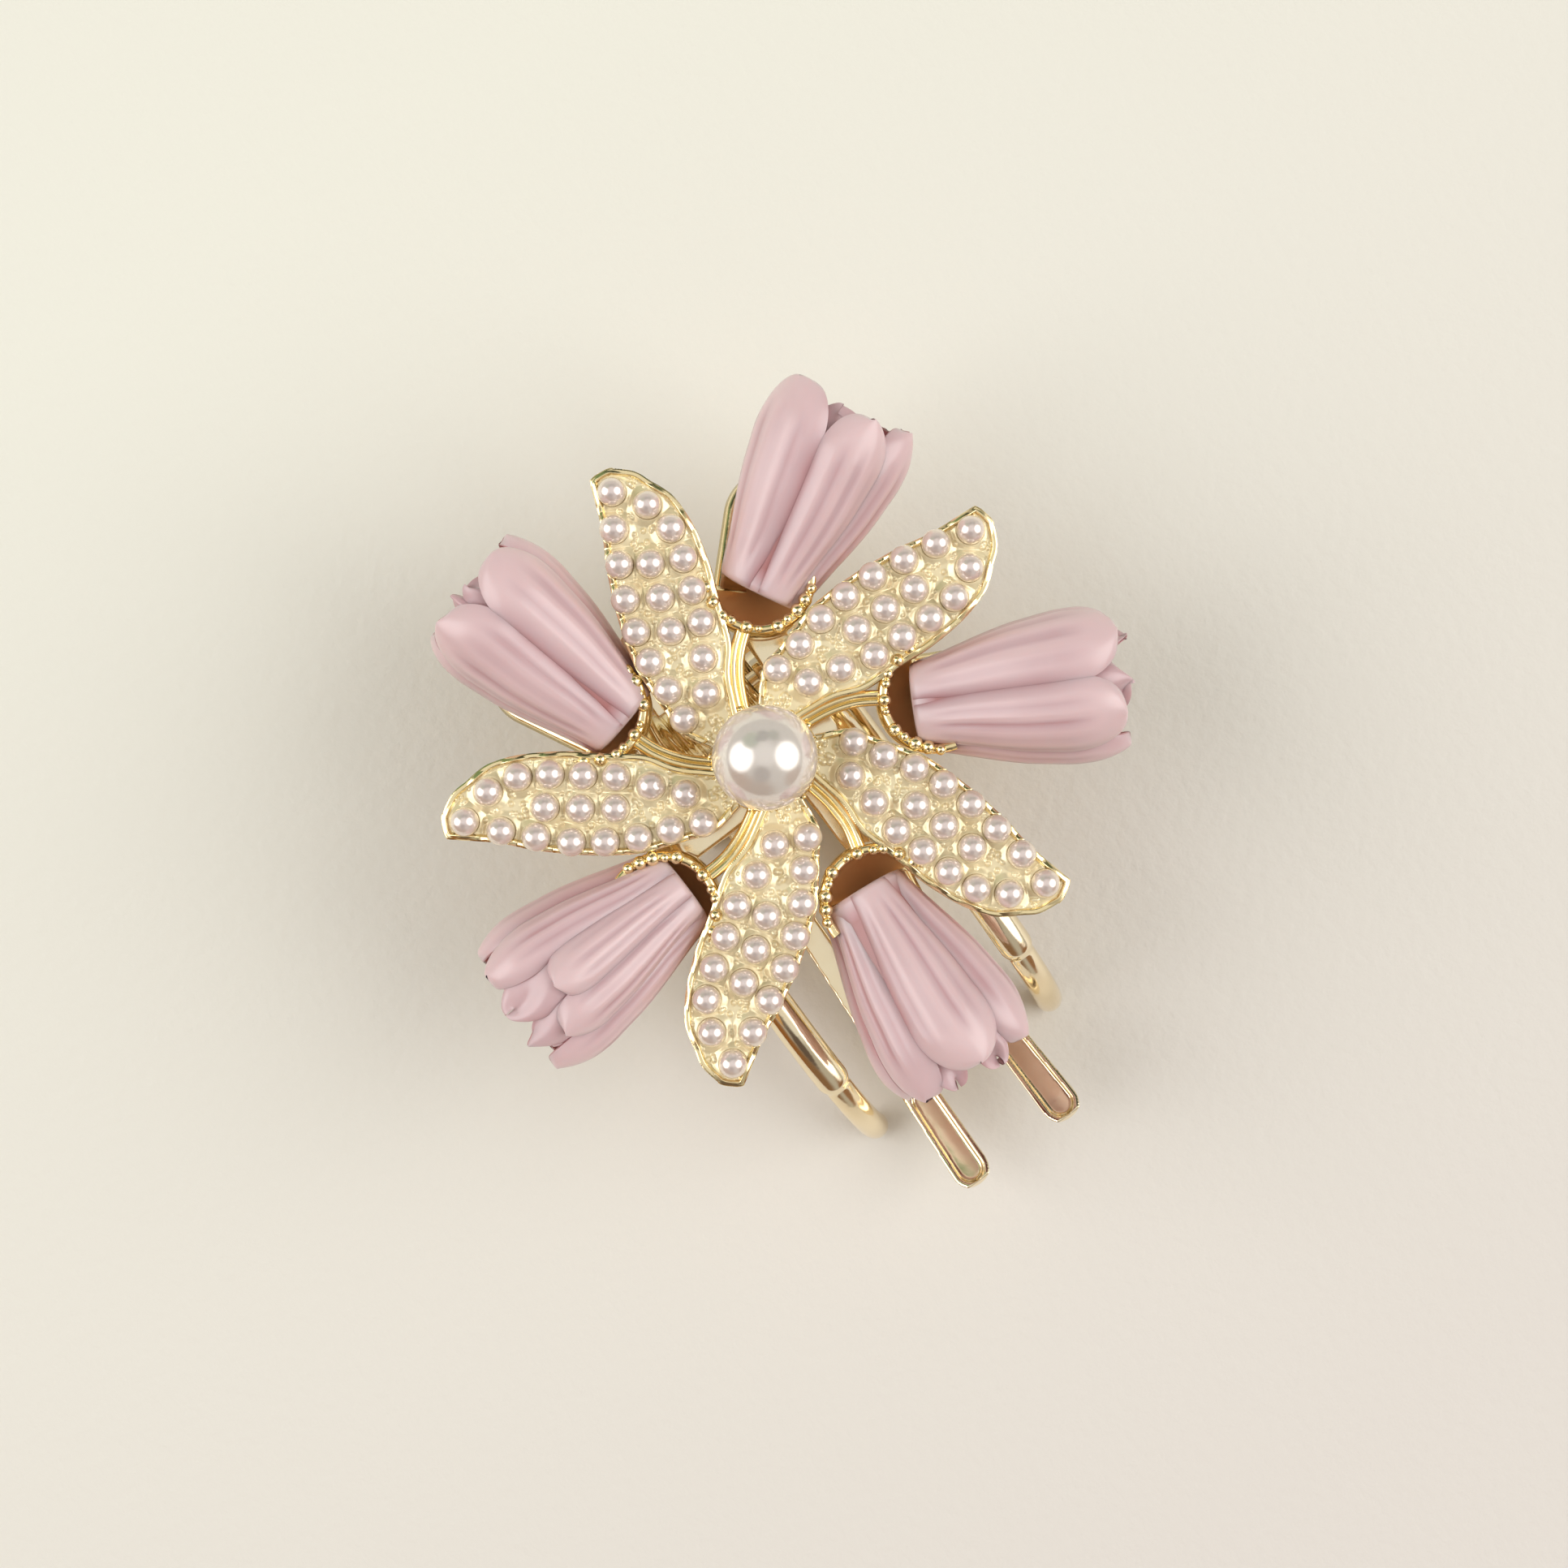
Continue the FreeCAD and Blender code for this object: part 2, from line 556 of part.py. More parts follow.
def finger_profile(lift):
    """Side view of a finger as a flat face in the plane x = 0, its top raised or lowered by lift."""
    run = FINGER_FLAT_Y - FINGER_TIP_Y
    bend_r = (run * run + FINGER_RISE * FINGER_RISE) / (2 * FINGER_RISE)
    half = FINGER_T / 2

    def side(off):
        row = [V(0, BRIDGE_FRONT_Y + 1.5, half + off),
               V(0, 0.5 * (BRIDGE_FRONT_Y + FINGER_FLAT_Y), half + off)]
        for i in range(9):
            a = math.asin(run / bend_r) * i / 8
            row.append(V(0, FINGER_FLAT_Y - (bend_r - off) * math.sin(a),
                         half + bend_r - (bend_r - off) * math.cos(a)))
        return row

    low, high = side(-half), side(half + lift)
    wire = Part.Wire([
        Part.makeLine(low[0], low[1]), spline(low[1:]).toShape(),
        Part.makeLine(low[-1], high[-1]), spline(list(reversed(high[1:]))).toShape(),
        Part.makeLine(high[1], high[0]), Part.makeLine(high[0], low[0]),
    ])
    return Part.Face(wire)


def finger_plan(side, rim, y_back):
    """Tall block with a finger's outline in plan, less rim all round: narrow root, round tip."""
    y_tip, y_root = FINGER_TIP_Y + FINGER_W / 2, BRIDGE_FRONT_Y + 1.5

    def middle(y):
        return CLIP_X + side * (FINGER_X + (FINGER_ROOT_X - FINGER_X) * (y - y_tip) / (y_root - y_tip))

    def half(y):
        share = min(1.0, max(0.0, (y - y_tip) / (FINGER_FLAT_Y - y_tip)))
        return (FINGER_W + (FINGER_ROOT_W - FINGER_W) * share) / 2 - rim

    rows = [y_tip + (y_back - y_tip) * i / 6.0 for i in range(7)]
    points = [V(middle(y) - half(y), y, -10) for y in rows]
    points += [V(middle(y) + half(y), y, -10) for y in reversed(rows)]
    body = Part.Face(Part.makePolygon(points + [points[0]])).extrude(V(0, 0, 40))
    caps = [Part.makeCylinder(half(y_tip), 40, V(middle(y_tip), y_tip, -10))]
    if y_back < y_root:
        caps.append(Part.makeCylinder(half(y_back), 40, V(middle(y_back), y_back, -10)))
    return body.multiFuse(caps)


def finger(side):
    """One finger: flat, then rising, round-ended, with a groove inside a raised rim on top."""
    x, width = CLIP_X + side * FINGER_X - FINGER_W, 2 * FINGER_W

    def slab(lift):
        return moved(finger_profile(lift), x, 0, 0).extrude(V(width, 0, 0))

    solid = slab(0.0).common(finger_plan(side, 0.0, BRIDGE_FRONT_Y + 1.5))
    groove = slab(6.0).cut(slab(-GROOVE_D)).common(finger_plan(side, GROOVE_RIM, GROOVE_BACK_Y))
    return solid.cut(groove)


def lower_jaw():
    """Bridge arched under the spring, two ears, thumb lever, two fingers."""
    half = BRIDGE_T / 2
    line = [(BRIDGE_FRONT_Y, half), (-0.8, half), (ARCH_FRONT_Y, ARCH_Z), (ARCH_BACK_Y, ARCH_Z),
            (LEVER_END_Y, half)]
    points = [V(0, y, z - half) for y, z in line] + [V(0, y, z + half) for y, z in reversed(line)]
    face = Part.Face(Part.makePolygon(points + [points[0]]))
    wide = moved(face, -30, 0, 0).extrude(V(60, 0, 0))
    outer = max(FINGER_X + FINGER_W / 2, lower_ear_x() + EAR_T / 2)
    plan = box(CLIP_X - outer, CLIP_X + outer, BRIDGE_FRONT_Y, PLATE_BACK_Y, -10, 40)
    plan = plan.fuse(rounded_end(LEVER_HALF_W, PLATE_BACK_Y - 1.0, LEVER_END_Y, 2.4))
    shapes = []
    for side in (-1, 1):
        shapes.append(ear(side * lower_ear_x(), ARCH_Z))
        shapes.append(finger(side))
    body = wide.common(plan).multiFuse(shapes)
    return tidy(body.cut(hole_through(PIN_R + PIN_FIT)))


def hinge_pin():
    """Pin peened over outside the upper jaw's ears."""
    reach = upper_ear_x() + EAR_T / 2
    start = V(CLIP_X - reach - PIN_HEAD_T / 2, HINGE_Y, HINGE_Z)
    shaft = Part.makeCylinder(PIN_R, 2 * reach + PIN_HEAD_T, start, V(1, 0, 0))
    heads = []
    for x in (CLIP_X - reach - PIN_HEAD_T, CLIP_X + reach):
        heads.append(Part.makeCylinder(PIN_HEAD_R, PIN_HEAD_T, V(x, HINGE_Y, HINGE_Z), V(1, 0, 0)))
    return tidy(shaft.multiFuse(heads))


def torsion_spring():
    """Closed coil on the pin, one leg under the upper lever, one leg on the lower lever."""
    tilt = math.radians(UPPER_LEVER_TILT)
    points = []
    # upper leg, running from its free end back to the top of the coil
    for i in range(4):
        y = HINGE_Y + LEG_LEN * (1 - i / 4.0)
        under = PLATE_Z + (y - PLATE_BACK_Y + LEVER_LAP / 2) * math.tan(tilt)
        x = CLIP_X - COIL_HALF + LEG_LEAN * (1 - i / 4.0) ** 2
        points.append(V(x, y, under - (WIRE_R + LEG_CLEAR) / math.cos(tilt)))
    turns = COIL_TURNS + 0.5
    steps = int(turns * 16)
    for i in range(steps + 1):
        a = math.radians(90) + 2 * math.pi * turns * i / steps
        x = CLIP_X - COIL_HALF + 2 * COIL_HALF * i / steps
        points.append(V(x, HINGE_Y + COIL_R * math.cos(a), HINGE_Z + COIL_R * math.sin(a)))
    low_z = HINGE_Z - COIL_R
    fall = (ARCH_Z - BRIDGE_T / 2) / (LEVER_END_Y - ARCH_BACK_Y)
    over = (WIRE_R + LEG_CLEAR) * math.sqrt(1 + fall * fall)
    for i in range(1, 5):
        y = HINGE_Y + LEG_LEN * i / 4.0
        floor = ARCH_Z + BRIDGE_T / 2 - max(0.0, y - ARCH_BACK_Y) * fall
        x = CLIP_X + COIL_HALF - LEG_LEAN * (i / 4.0) ** 2
        points.append(V(x, y, max(floor + over, low_z - (y - HINGE_Y) * 0.25)))
    return tube(points, WIRE_R, COIL_TURNS + 1)


# ---- build and export ----------------------------------------------------------------------
def build():
    """Every node by name, in the flower's frame."""
    nodes = {"flower_casting": flower_casting(), "centre_pearl": centre_pearl()}
    for i in range(SECTORS):
        nodes["petal_%d_pearls" % (i + 1)] = petal_pearls(i)
    for i, (x, y, heading, roll) in enumerate(BUDS):
        nodes["bud_%d" % (i + 1)] = laid(bud(roll), x, y, heading)
    nodes["upper_jaw"] = upper_jaw()
    nodes["lower_jaw"] = lower_jaw()
    nodes["hinge_pin"] = hinge_pin()
    nodes["torsion_spring"] = torsion_spring()
    return nodes


def true_box(shapes):
    """Tight box round the drawn surfaces, from fine triangles."""
    points = []
    for shape in shapes:
        points += shape.tessellate(0.02)[0]
    rows = [[p[k] for p in points] for k in range(3)]
    return [min(r) for r in rows], [max(r) for r in rows]


def main():
    os.makedirs("parts", exist_ok=True)
    nodes = build()
    low, high = true_box(nodes.values())
    shift = V(-(low[0] + high[0]) / 2, -(low[1] + high[1]) / 2, -low[2])
    print("SHIFT", round(shift.x, 4), round(shift.y, 4), round(shift.z, 4))
    print("BOX", [round(b - a, 3) for a, b in zip(low, high)])
    print("HINGE", round(CLIP_X + shift.x, 4), round(HINGE_Y + shift.y, 4), round(HINGE_Z + shift.z, 4))
    for name, shape in nodes.items():
        shape.translate(shift)
        ok = shape.isValid()
        print(name, "solids", len(shape.Solids), "volume", round(shape.Volume, 2), "valid", ok)
        shape.exportStep("parts/%s.step" % name)


main()
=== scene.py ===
import bpy
import math
import random
import numpy as np
from mathutils import Matrix, Vector


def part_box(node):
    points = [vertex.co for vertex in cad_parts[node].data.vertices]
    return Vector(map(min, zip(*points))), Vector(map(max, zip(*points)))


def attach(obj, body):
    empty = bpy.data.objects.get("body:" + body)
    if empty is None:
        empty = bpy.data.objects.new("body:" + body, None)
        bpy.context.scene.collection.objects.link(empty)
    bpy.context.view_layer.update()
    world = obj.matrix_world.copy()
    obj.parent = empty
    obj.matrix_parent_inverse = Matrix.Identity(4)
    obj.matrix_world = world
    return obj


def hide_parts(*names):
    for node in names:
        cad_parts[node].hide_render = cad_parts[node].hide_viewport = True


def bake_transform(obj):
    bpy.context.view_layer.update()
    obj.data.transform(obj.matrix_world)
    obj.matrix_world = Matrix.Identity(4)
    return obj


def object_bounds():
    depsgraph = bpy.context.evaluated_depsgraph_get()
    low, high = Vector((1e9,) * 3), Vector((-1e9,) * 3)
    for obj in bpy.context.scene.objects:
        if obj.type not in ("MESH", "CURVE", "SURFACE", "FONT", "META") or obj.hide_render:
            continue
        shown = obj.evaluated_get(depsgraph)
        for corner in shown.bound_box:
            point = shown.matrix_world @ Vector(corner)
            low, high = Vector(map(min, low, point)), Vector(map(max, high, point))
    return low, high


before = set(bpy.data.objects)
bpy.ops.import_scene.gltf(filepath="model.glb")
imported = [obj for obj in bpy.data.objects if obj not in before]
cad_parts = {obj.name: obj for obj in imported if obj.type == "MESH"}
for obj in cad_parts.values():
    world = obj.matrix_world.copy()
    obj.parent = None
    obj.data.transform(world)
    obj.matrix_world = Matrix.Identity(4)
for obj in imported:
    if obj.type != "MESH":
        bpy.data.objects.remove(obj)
cad_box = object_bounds()

# --------------------------------------------------------------------------------------------
# Camera. It looks straight down at the clip, which lies on its jaws with the teeth towards the
# lower right. The flower's axis is the middle of the large pearl.
pearl_low, pearl_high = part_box("centre_pearl")
HUB = Vector(((pearl_low.x + pearl_high.x) / 2, (pearl_low.y + pearl_high.y) / 2, 0))
UP_TURN = math.radians(53.8)             # which way is up in the view, from +X
VIEW_HEIGHT = 0.170                      # lens above the petals
PETAL_LEVEL = 0.0182
VIEW_HALF_WIDTH = 0.06035                # half of what the view takes in at the petals
AIM_OFFSET = -0.00244                    # the lens hangs a little nearer than the large pearl
camera_data = bpy.data.cameras.new("camera")
camera = bpy.data.objects.new("camera", camera_data)
bpy.context.collection.objects.link(camera)
camera_data.angle = 2 * math.atan(VIEW_HALF_WIDTH / VIEW_HEIGHT)
camera_data.clip_start = 0.005
camera.location = HUB + Vector((0.0, AIM_OFFSET, PETAL_LEVEL + VIEW_HEIGHT))
view_up = Vector((math.cos(UP_TURN), math.sin(UP_TURN), 0))
view_right = Vector((math.sin(UP_TURN), -math.cos(UP_TURN), 0))
camera.rotation_euler = Matrix((
    (view_right.x, view_up.x, 0), (view_right.y, view_up.y, 0), (0, 0, 1))).to_euler()
bpy.context.scene.camera = camera
bpy.context.scene.view_settings.view_transform = "Standard"

# --------------------------------------------------------------------------------------------
# Daylight. A pale room with a soft bright window on the left and one on the right, which put two
# bright patches side by side in every pearl. The near side is in warm shade and dark, leafy
# things stand behind, so the gold has dark, brown and green tones to mirror.
room = bpy.data.worlds.new("room")
bpy.context.scene.world = room
room.use_nodes = True
rn, rl = room.node_tree.nodes, room.node_tree.links
rn.clear()
room_out = rn.new("ShaderNodeOutputWorld")
room_light = rn.new("ShaderNodeBackground")
room_way = rn.new("ShaderNodeTexCoord")
room_base = rn.new("ShaderNodeRGB")
room_base.outputs[0].default_value = (0.60, 0.565, 0.51, 1)
room_colour = room_base.outputs[0]
# towards: side, up and rise of each patch; core and fade angles in degrees; colour
ROOM_PATCHES = (
    ((0.0, 0.10, 1.0), 10, 36, (1.05, 1.02, 0.96)),        # ceiling
    ((-0.25, -1.0, 0.25), 12, 40, (0.30, 0.17, 0.09)),     # warm shade on the near side
    ((-0.95, -0.80, 0.25), 10, 32, (0.34, 0.14, 0.04)),
    ((0.95, -0.60, 0.20), 8, 24, (0.36, 0.19, 0.10)),
    ((-0.82, 0.02, 0.62), 17, 34, (4.1, 4.05, 3.95)),      # left window
    ((0.80, 0.06, 0.64), 17, 33, (4.3, 4.25, 4.1)),        # right window
    ((0.34, 0.82, 0.66), 7, 15, (0.12, 0.16, 0.09)),       # dark, leafy things behind
    ((-0.08, 0.80, 0.72), 9, 16, (0.07, 0.08, 0.06)),
    ((-0.50, 0.62, 0.70), 12, 22, (0.24, 0.36, 0.20)),
    ((-0.22, 0.62, 0.70), 4, 8, (0.05, 0.06, 0.05)),
    ((-0.10, -0.60, 0.80), 12, 22, (0.16, 0.12, 0.10)))


def room_patch(under, towards, core, fade, colour):
    """Round patch over the room so far: full inside core degrees, gone at fade degrees."""
    side, up, rise = towards
    dot = rn.new("ShaderNodeVectorMath")
    dot.operation = "DOT_PRODUCT"
    aim = view_right * side + view_up * up + Vector((0, 0, rise))
    dot.inputs[1].default_value = aim.normalized()
    share = rn.new("ShaderNodeMapRange")
    share.interpolation_type = "SMOOTHSTEP"
    share.inputs["From Min"].default_value = math.cos(math.radians(fade))
    share.inputs["From Max"].default_value = math.cos(math.radians(core))
    mix = rn.new("ShaderNodeMix")
    mix.data_type = "RGBA"
    mix.inputs["B"].default_value = (*colour, 1)
    rl.new(room_way.outputs["Generated"], dot.inputs[0])
    rl.new(dot.outputs["Value"], share.inputs["Value"])
    rl.new(share.outputs["Result"], mix.inputs["Factor"])
    rl.new(under, mix.inputs["A"])
    return mix.outputs["Result"]


for patch in ROOM_PATCHES:
    room_colour = room_patch(room_colour, *patch)
room_light.inputs["Strength"].default_value = 0.76
rl.new(room_colour, room_light.inputs["Color"])
rl.new(room_light.outputs["Background"], room_out.inputs["Surface"])

# --------------------------------------------------------------------------------------------
# Table top. A plain pale laminate with a fine leather grain, which the clip lies on. Its colour carries a
# painted fall-off of the light, lighter towards the view's upper left.
table_mesh = bpy.data.meshes.new("table_top")
reach, rest_z = 1.2, cad_box[0][2]       # half of its width, and the level the clip lies at
table_corners = ((-reach, -reach), (reach, -reach), (reach, reach), (-reach, reach))
table_mesh.from_pydata([(x, y, rest_z) for x, y in table_corners], [], [(0, 1, 2, 3)])
table_top = bpy.data.objects.new("table_top", table_mesh)
bpy.context.collection.objects.link(table_top)
laminate = bpy.data.materials.new("pale_laminate")
laminate.use_nodes = True
ln, ll = laminate.node_tree.nodes, laminate.node_tree.links
laminate_shader = ln["Principled BSDF"]
laminate_shader.inputs["Roughness"].default_value = 0.55
laminate_shader.inputs["Specular IOR Level"].default_value = 0.35
table_place = ln.new("ShaderNodeTexCoord")
painted_falloff_slope = ln.new("ShaderNodeVectorMath")
painted_falloff_slope.operation = "DOT_PRODUCT"
painted_falloff_slope.inputs[1].default_value = view_right * 4.0 - view_up * 6.0
table_lift = ln.new("ShaderNodeMath")
table_lift.operation = "ADD"
table_lift.inputs[1].default_value = 0.5
# painted light fall-off: the laminate's colour goes from light at the view's upper left to darker and
# pinker at its lower right
table_painted_falloff = ln.new("ShaderNodeMix")
table_painted_falloff.data_type = "RGBA"
table_painted_falloff.inputs["A"].default_value = (0.82, 0.815, 0.74, 1)
table_painted_falloff.inputs["B"].default_value = (0.74, 0.70, 0.665, 1)
table_grain = ln.new("ShaderNodeTexNoise")
table_grain.inputs["Scale"].default_value = 900.0
table_grain.inputs["Detail"].default_value = 3.0
table_bump = ln.new("ShaderNodeBump")
table_bump.inputs["Strength"].default_value = 0.8
table_bump.inputs["Distance"].default_value = 0.00012
ll.new(table_place.outputs["Object"], painted_falloff_slope.inputs[0])
ll.new(painted_falloff_slope.outputs["Value"], table_lift.inputs[0])
ll.new(table_place.outputs["Object"], table_grain.inputs["Vector"])
ll.new(table_lift.outputs["Value"], table_painted_falloff.inputs["Factor"])
ll.new(table_painted_falloff.outputs["Result"], laminate_shader.inputs["Base Color"])
ll.new(table_grain.outputs["Fac"], table_bump.inputs["Height"])
ll.new(table_bump.outputs["Normal"], laminate_shader.inputs["Normal"])
table_mesh.materials.append(laminate)

# --------------------------------------------------------------------------------------------
# Cast petals. Five blades of the one gold-plated casting, each a shallow tray with a raised rim,
# a little collar round every pearl and small cast grains between them.
MM = 0.001
PETALS = 5
PEARL_R = 1.125
pearl_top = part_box("petal_1_pearls")[1].z / MM
FIELD_Z = pearl_top - 2 * PEARL_R + 0.45   # top of the pearl field, mm
PETAL_ANGLE, CUP_ANGLE, PITCH = 84.0, 55.9, 72.0
# a blade's left and right edges at distances from the hub's axis; its tip lies along +Y
BLADE_Y = (2.77, 5.04, 6.93, 8.82, 10.68, 12.6, 14.49, 16.63, 19.15, 21.17, 22.68, 24.07, 24.95)
BLADE_LEFT = (-3.2, -4.70, -4.85, -5.0, -5.10, -4.85, -4.45, -3.85, -2.95, -2.05, -1.60, -1.20, -0.95)
BLADE_RIGHT = (-0.48, 0.20, 0.90, 2.10, 2.65, 3.10, 3.65, 4.05, 4.22, 3.90, 3.10, 2.25, 1.10)
BLADE_TIP = 25.2
SHOULDER_Y = 24.9                        # the edge rounds over the tip from here
RIM_HIGH, RIM_WIDE, RIM_ROUND = 0.40, 0.45, 0.16
COLLAR_HIGH, COLLAR_IN, COLLAR_OUT = 0.26, 1.05, 1.75
SEAT_DEEP, SEAT_IN, SEAT_OUT = 0.50, 0.98, 1.10
WAVE_HIGH = 0.03                         # the floor isn't quite flat
GRAIN_PITCH, GRAIN_STRAY, GRAIN_R = 0.52, 0.18, (0.17, 0.30)
GRAIN_SHARE = 0.75                       # of the places that have a grain
WALL_HIGH = 2.4
BACK_TIP, BACK_DEEP = 24.6, 1.2          # the hollow in the back


def smooth_line(xs, ys, at):
    """Value of a smooth curve through points (xs, ys), at any places."""
    xs, ys, at = np.array(xs, float), np.array(ys, float), np.atleast_1d(np.array(at, float))
    slope = np.gradient(ys, xs)
    i = np.clip(np.searchsorted(xs, at) - 1, 0, len(xs) - 2)
    h = xs[i + 1] - xs[i]
    t = np.clip((at - xs[i]) / h, 0, 1)
    return ((2 * t**3 - 3 * t**2 + 1) * ys[i] + (t**3 - 2 * t**2 + t) * h * slope[i]
            + (-2 * t**3 + 3 * t**2) * ys[i + 1] + (t**3 - t**2) * h * slope[i + 1])


def soft_step(a, b, x):
    """0 below a, 1 above b, smooth between."""
    t = np.clip((x - a) / (b - a), 0, 1)
    return t * t * (3 - 2 * t)


def blade_edges(y):
    """Left and right edge of the blade at distances y from the hub's axis."""
    left, right = smooth_line(BLADE_Y, BLADE_LEFT, y), smooth_line(BLADE_Y, BLADE_RIGHT, y)
    last = BLADE_Y[-1]
    close = np.sqrt(np.clip(1 - ((y - last) / (BLADE_TIP - last)) ** 2, 0, 1))
    close = np.where(y > last, close, 1.0)
    mid, half = (left + right) / 2, (right - left) / 2
    return mid - half * close, mid + half * close


def grid_faces(rows, columns, start=0, closed=False):
    """Quads of a grid of points stored row by row."""
    faces = []
    for r in range(rows - 1):
        for c in range(columns if closed else columns - 1):
            n = (c + 1) % columns
            faces.append((start + r * columns + c, start + r * columns + n,
                          start + (r + 1) * columns + n, start + (r + 1) * columns + c))
    return faces


def to_mesh(name, points, faces, finishes, finish_of=None):
    """Mesh in metres from points in millimetres."""
    mesh = bpy.data.meshes.new(name)
    mesh.from_pydata((np.array(points, float) * MM).tolist(), [], faces)
    mesh.polygons.foreach_set("use_smooth", [True] * len(mesh.polygons))
    for finish in finishes:
        mesh.materials.append(finish)
    if finish_of is not None:
        mesh.polygons.foreach_set("material_index", finish_of)
    mesh.update()
    return mesh


def place(name, mesh, turn=0.0):
    """Piece about the flower's axis, turned by degrees."""
    piece = bpy.data.objects.new(name, mesh)
    bpy.context.collection.objects.link(piece)
    turned = Matrix.Rotation(math.radians(turn), 4, "Z")
    piece.matrix_world = Matrix.Translation((HUB.x, HUB.y, 0)) @ turned
    return piece


def petal_turn(i):
    """Degrees from +Y round to petal i."""
    return PETAL_ANGLE - 90 - PITCH * i


def pearl_spots(node, turn):
    """Middles of a petal's pearls in that petal's own frame, from the tops of the solid ones."""
    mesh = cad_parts[node].data
    at = np.array([v.co for v in mesh.vertices], float) / MM
    at[:, 0] -= HUB.x / MM
    at[:, 1] -= HUB.y / MM
    apart, cap = 1.0, 0.012
    top = at[at[:, 2] > at[:, 2].max() - cap]
    spots = []
    for p in top:
        if all(math.hypot(p[0] - q[0], p[1] - q[1]) > apart for q in spots):
            near = top[np.hypot(top[:, 0] - p[0], top[:, 1] - p[1]) < apart]
            spots.append(near.mean(0)[:2])
    a = math.radians(-turn)
    return [(x * math.cos(a) - y * math.sin(a), x * math.sin(a) + y * math.cos(a)) for x, y in spots]


def gold_plating(name, tone, deep, rough, grain, grain_scale, worn=0.25, metal=1.0):
    """Pale gold plating: cloudy tone, finely pitted or drawn surface."""
    finish = bpy.data.materials.new(name)
    finish.use_nodes = True
    nodes, links = finish.node_tree.nodes, finish.node_tree.links
    shader = nodes["Principled BSDF"]
    shader.inputs["Metallic"].default_value = metal
    where = nodes.new("ShaderNodeTexCoord")
    cloud = nodes.new("ShaderNodeTexNoise")
    cloud.inputs["Scale"].default_value = 260.0
    cloud.inputs["Detail"].default_value = 4.0
    mix = nodes.new("ShaderNodeMix")
    mix.data_type = "RGBA"
    mix.inputs["A"].default_value = (*tone, 1)
    mix.inputs["B"].default_value = (*deep, 1)
    share = nodes.new("ShaderNodeMapRange")
    share.inputs["From Min"].default_value = 0.42
    share.inputs["From Max"].default_value = 0.70
    share.inputs["To Max"].default_value = worn * 2
    matt = nodes.new("ShaderNodeMapRange")
    matt.inputs["To Min"].default_value = rough * 0.75
    matt.inputs["To Max"].default_value = rough * 1.35
    pits = nodes.new("ShaderNodeTexNoise")
    pits.inputs["Scale"].default_value = grain_scale
    pits.inputs["Detail"].default_value = 3.0
    bump = nodes.new("ShaderNodeBump")
    bump.inputs["Strength"].default_value = grain
    bump.inputs["Distance"].default_value = 0.00006
    links.new(where.outputs["Object"], cloud.inputs["Vector"])
    links.new(where.outputs["Object"], pits.inputs["Vector"])
    links.new(cloud.outputs["Fac"], share.inputs["Value"])
    links.new(share.outputs["Result"], mix.inputs["Factor"])
    links.new(mix.outputs["Result"], shader.inputs["Base Color"])
    links.new(cloud.outputs["Fac"], matt.inputs["Value"])
    links.new(matt.outputs["Result"], shader.inputs["Roughness"])
    links.new(pits.outputs["Fac"], bump.inputs["Height"])
    links.new(bump.outputs["Normal"], shader.inputs["Normal"])
    return finish


cast_gold = gold_plating(
    "cast_gold", (0.98, 0.83, 0.50), (0.90, 0.68, 0.30), 0.15, 0.35, 1600.0)
floor_gold = gold_plating(
    "floor_gold", (0.96, 0.85, 0.58), (0.92, 0.74, 0.40), 0.24, 0.45, 1300.0, metal=0.38)
# darker, copper-brown copy of the plating, used as painted shade on the petals' lower side walls and
# hollow backs and inside the cups
painted_shade_gold = gold_plating(
    "painted_shade_gold", (0.98, 0.68, 0.36), (0.90, 0.54, 0.24), 0.30, 0.2, 900.0, metal=0.45)

petal_names = ["petal_%d_pearls" % (i + 1) for i in range(PETALS)]
spots_of = [pearl_spots(petal_names[i], petal_turn(i)) for i in range(PETALS)]
spots = np.array(spots_of[0])

# outline of the blade as a run of points, from the root's left corner round the tip and back
tip_turn = np.sin(np.linspace(0, math.pi / 2, 16))
edge_y = np.concatenate([np.linspace(BLADE_Y[0], SHOULDER_Y, 150), BLADE_TIP - 0.3 * (1 - tip_turn)[1:]])
edge_left, edge_right = blade_edges(edge_y)
outline = np.concatenate([np.stack([edge_left, edge_y], 1),
                          np.stack([edge_right, edge_y], 1)[::-1][1:]])

# the pearl field as a fine relief
rows, columns = 330, 108
row_y = np.concatenate([np.linspace(BLADE_Y[0], SHOULDER_Y, rows - 12),
                        SHOULDER_Y + 0.28 * np.sin(np.linspace(0, math.pi / 2, 13))[1:]])
row_left, row_right = blade_edges(row_y)
across = np.linspace(0, 1, columns)
field_x = row_left[:, None] + (row_right - row_left)[:, None] * across[None, :]
field_y = np.repeat(row_y[:, None], columns, 1)
flat = np.stack([field_x.ravel(), field_y.ravel()], 1)
to_edge = np.concatenate([np.hypot(part[:, None, 0] - outline[None, :, 0],
                                   part[:, None, 1] - outline[None, :, 1]).min(1)
                          for part in np.array_split(flat, 24)])
# no rim at the root, where the blade runs into the hub
to_edge = np.where(flat[:, 1] < BLADE_Y[0] + 0.6, np.maximum(to_edge, 0.7), to_edge)
to_pearl = np.hypot(flat[:, None, 0] - spots[None, :, 0],
                    flat[:, None, 1] - spots[None, :, 1]).min(1)
relief = RIM_HIGH * (1 - soft_step(RIM_WIDE * 0.75, RIM_WIDE * 1.35, to_edge))
corner = np.clip(1 - to_edge / RIM_ROUND, 0, 1)
relief -= RIM_ROUND * (1 - np.sqrt(np.clip(1 - corner**2, 0, 1)))
relief += COLLAR_HIGH * (1 - soft_step(COLLAR_IN, COLLAR_OUT, to_pearl))
relief -= SEAT_DEEP * (1 - soft_step(SEAT_IN, SEAT_OUT, to_pearl))
waves = np.sin(flat[:, 0] * 2.3 + 1.1 * np.sin(flat[:, 1] * 1.7))
relief += WAVE_HIGH * waves * soft_step(0.4, 0.9, to_edge)
chance = random.Random(11)
grains = []
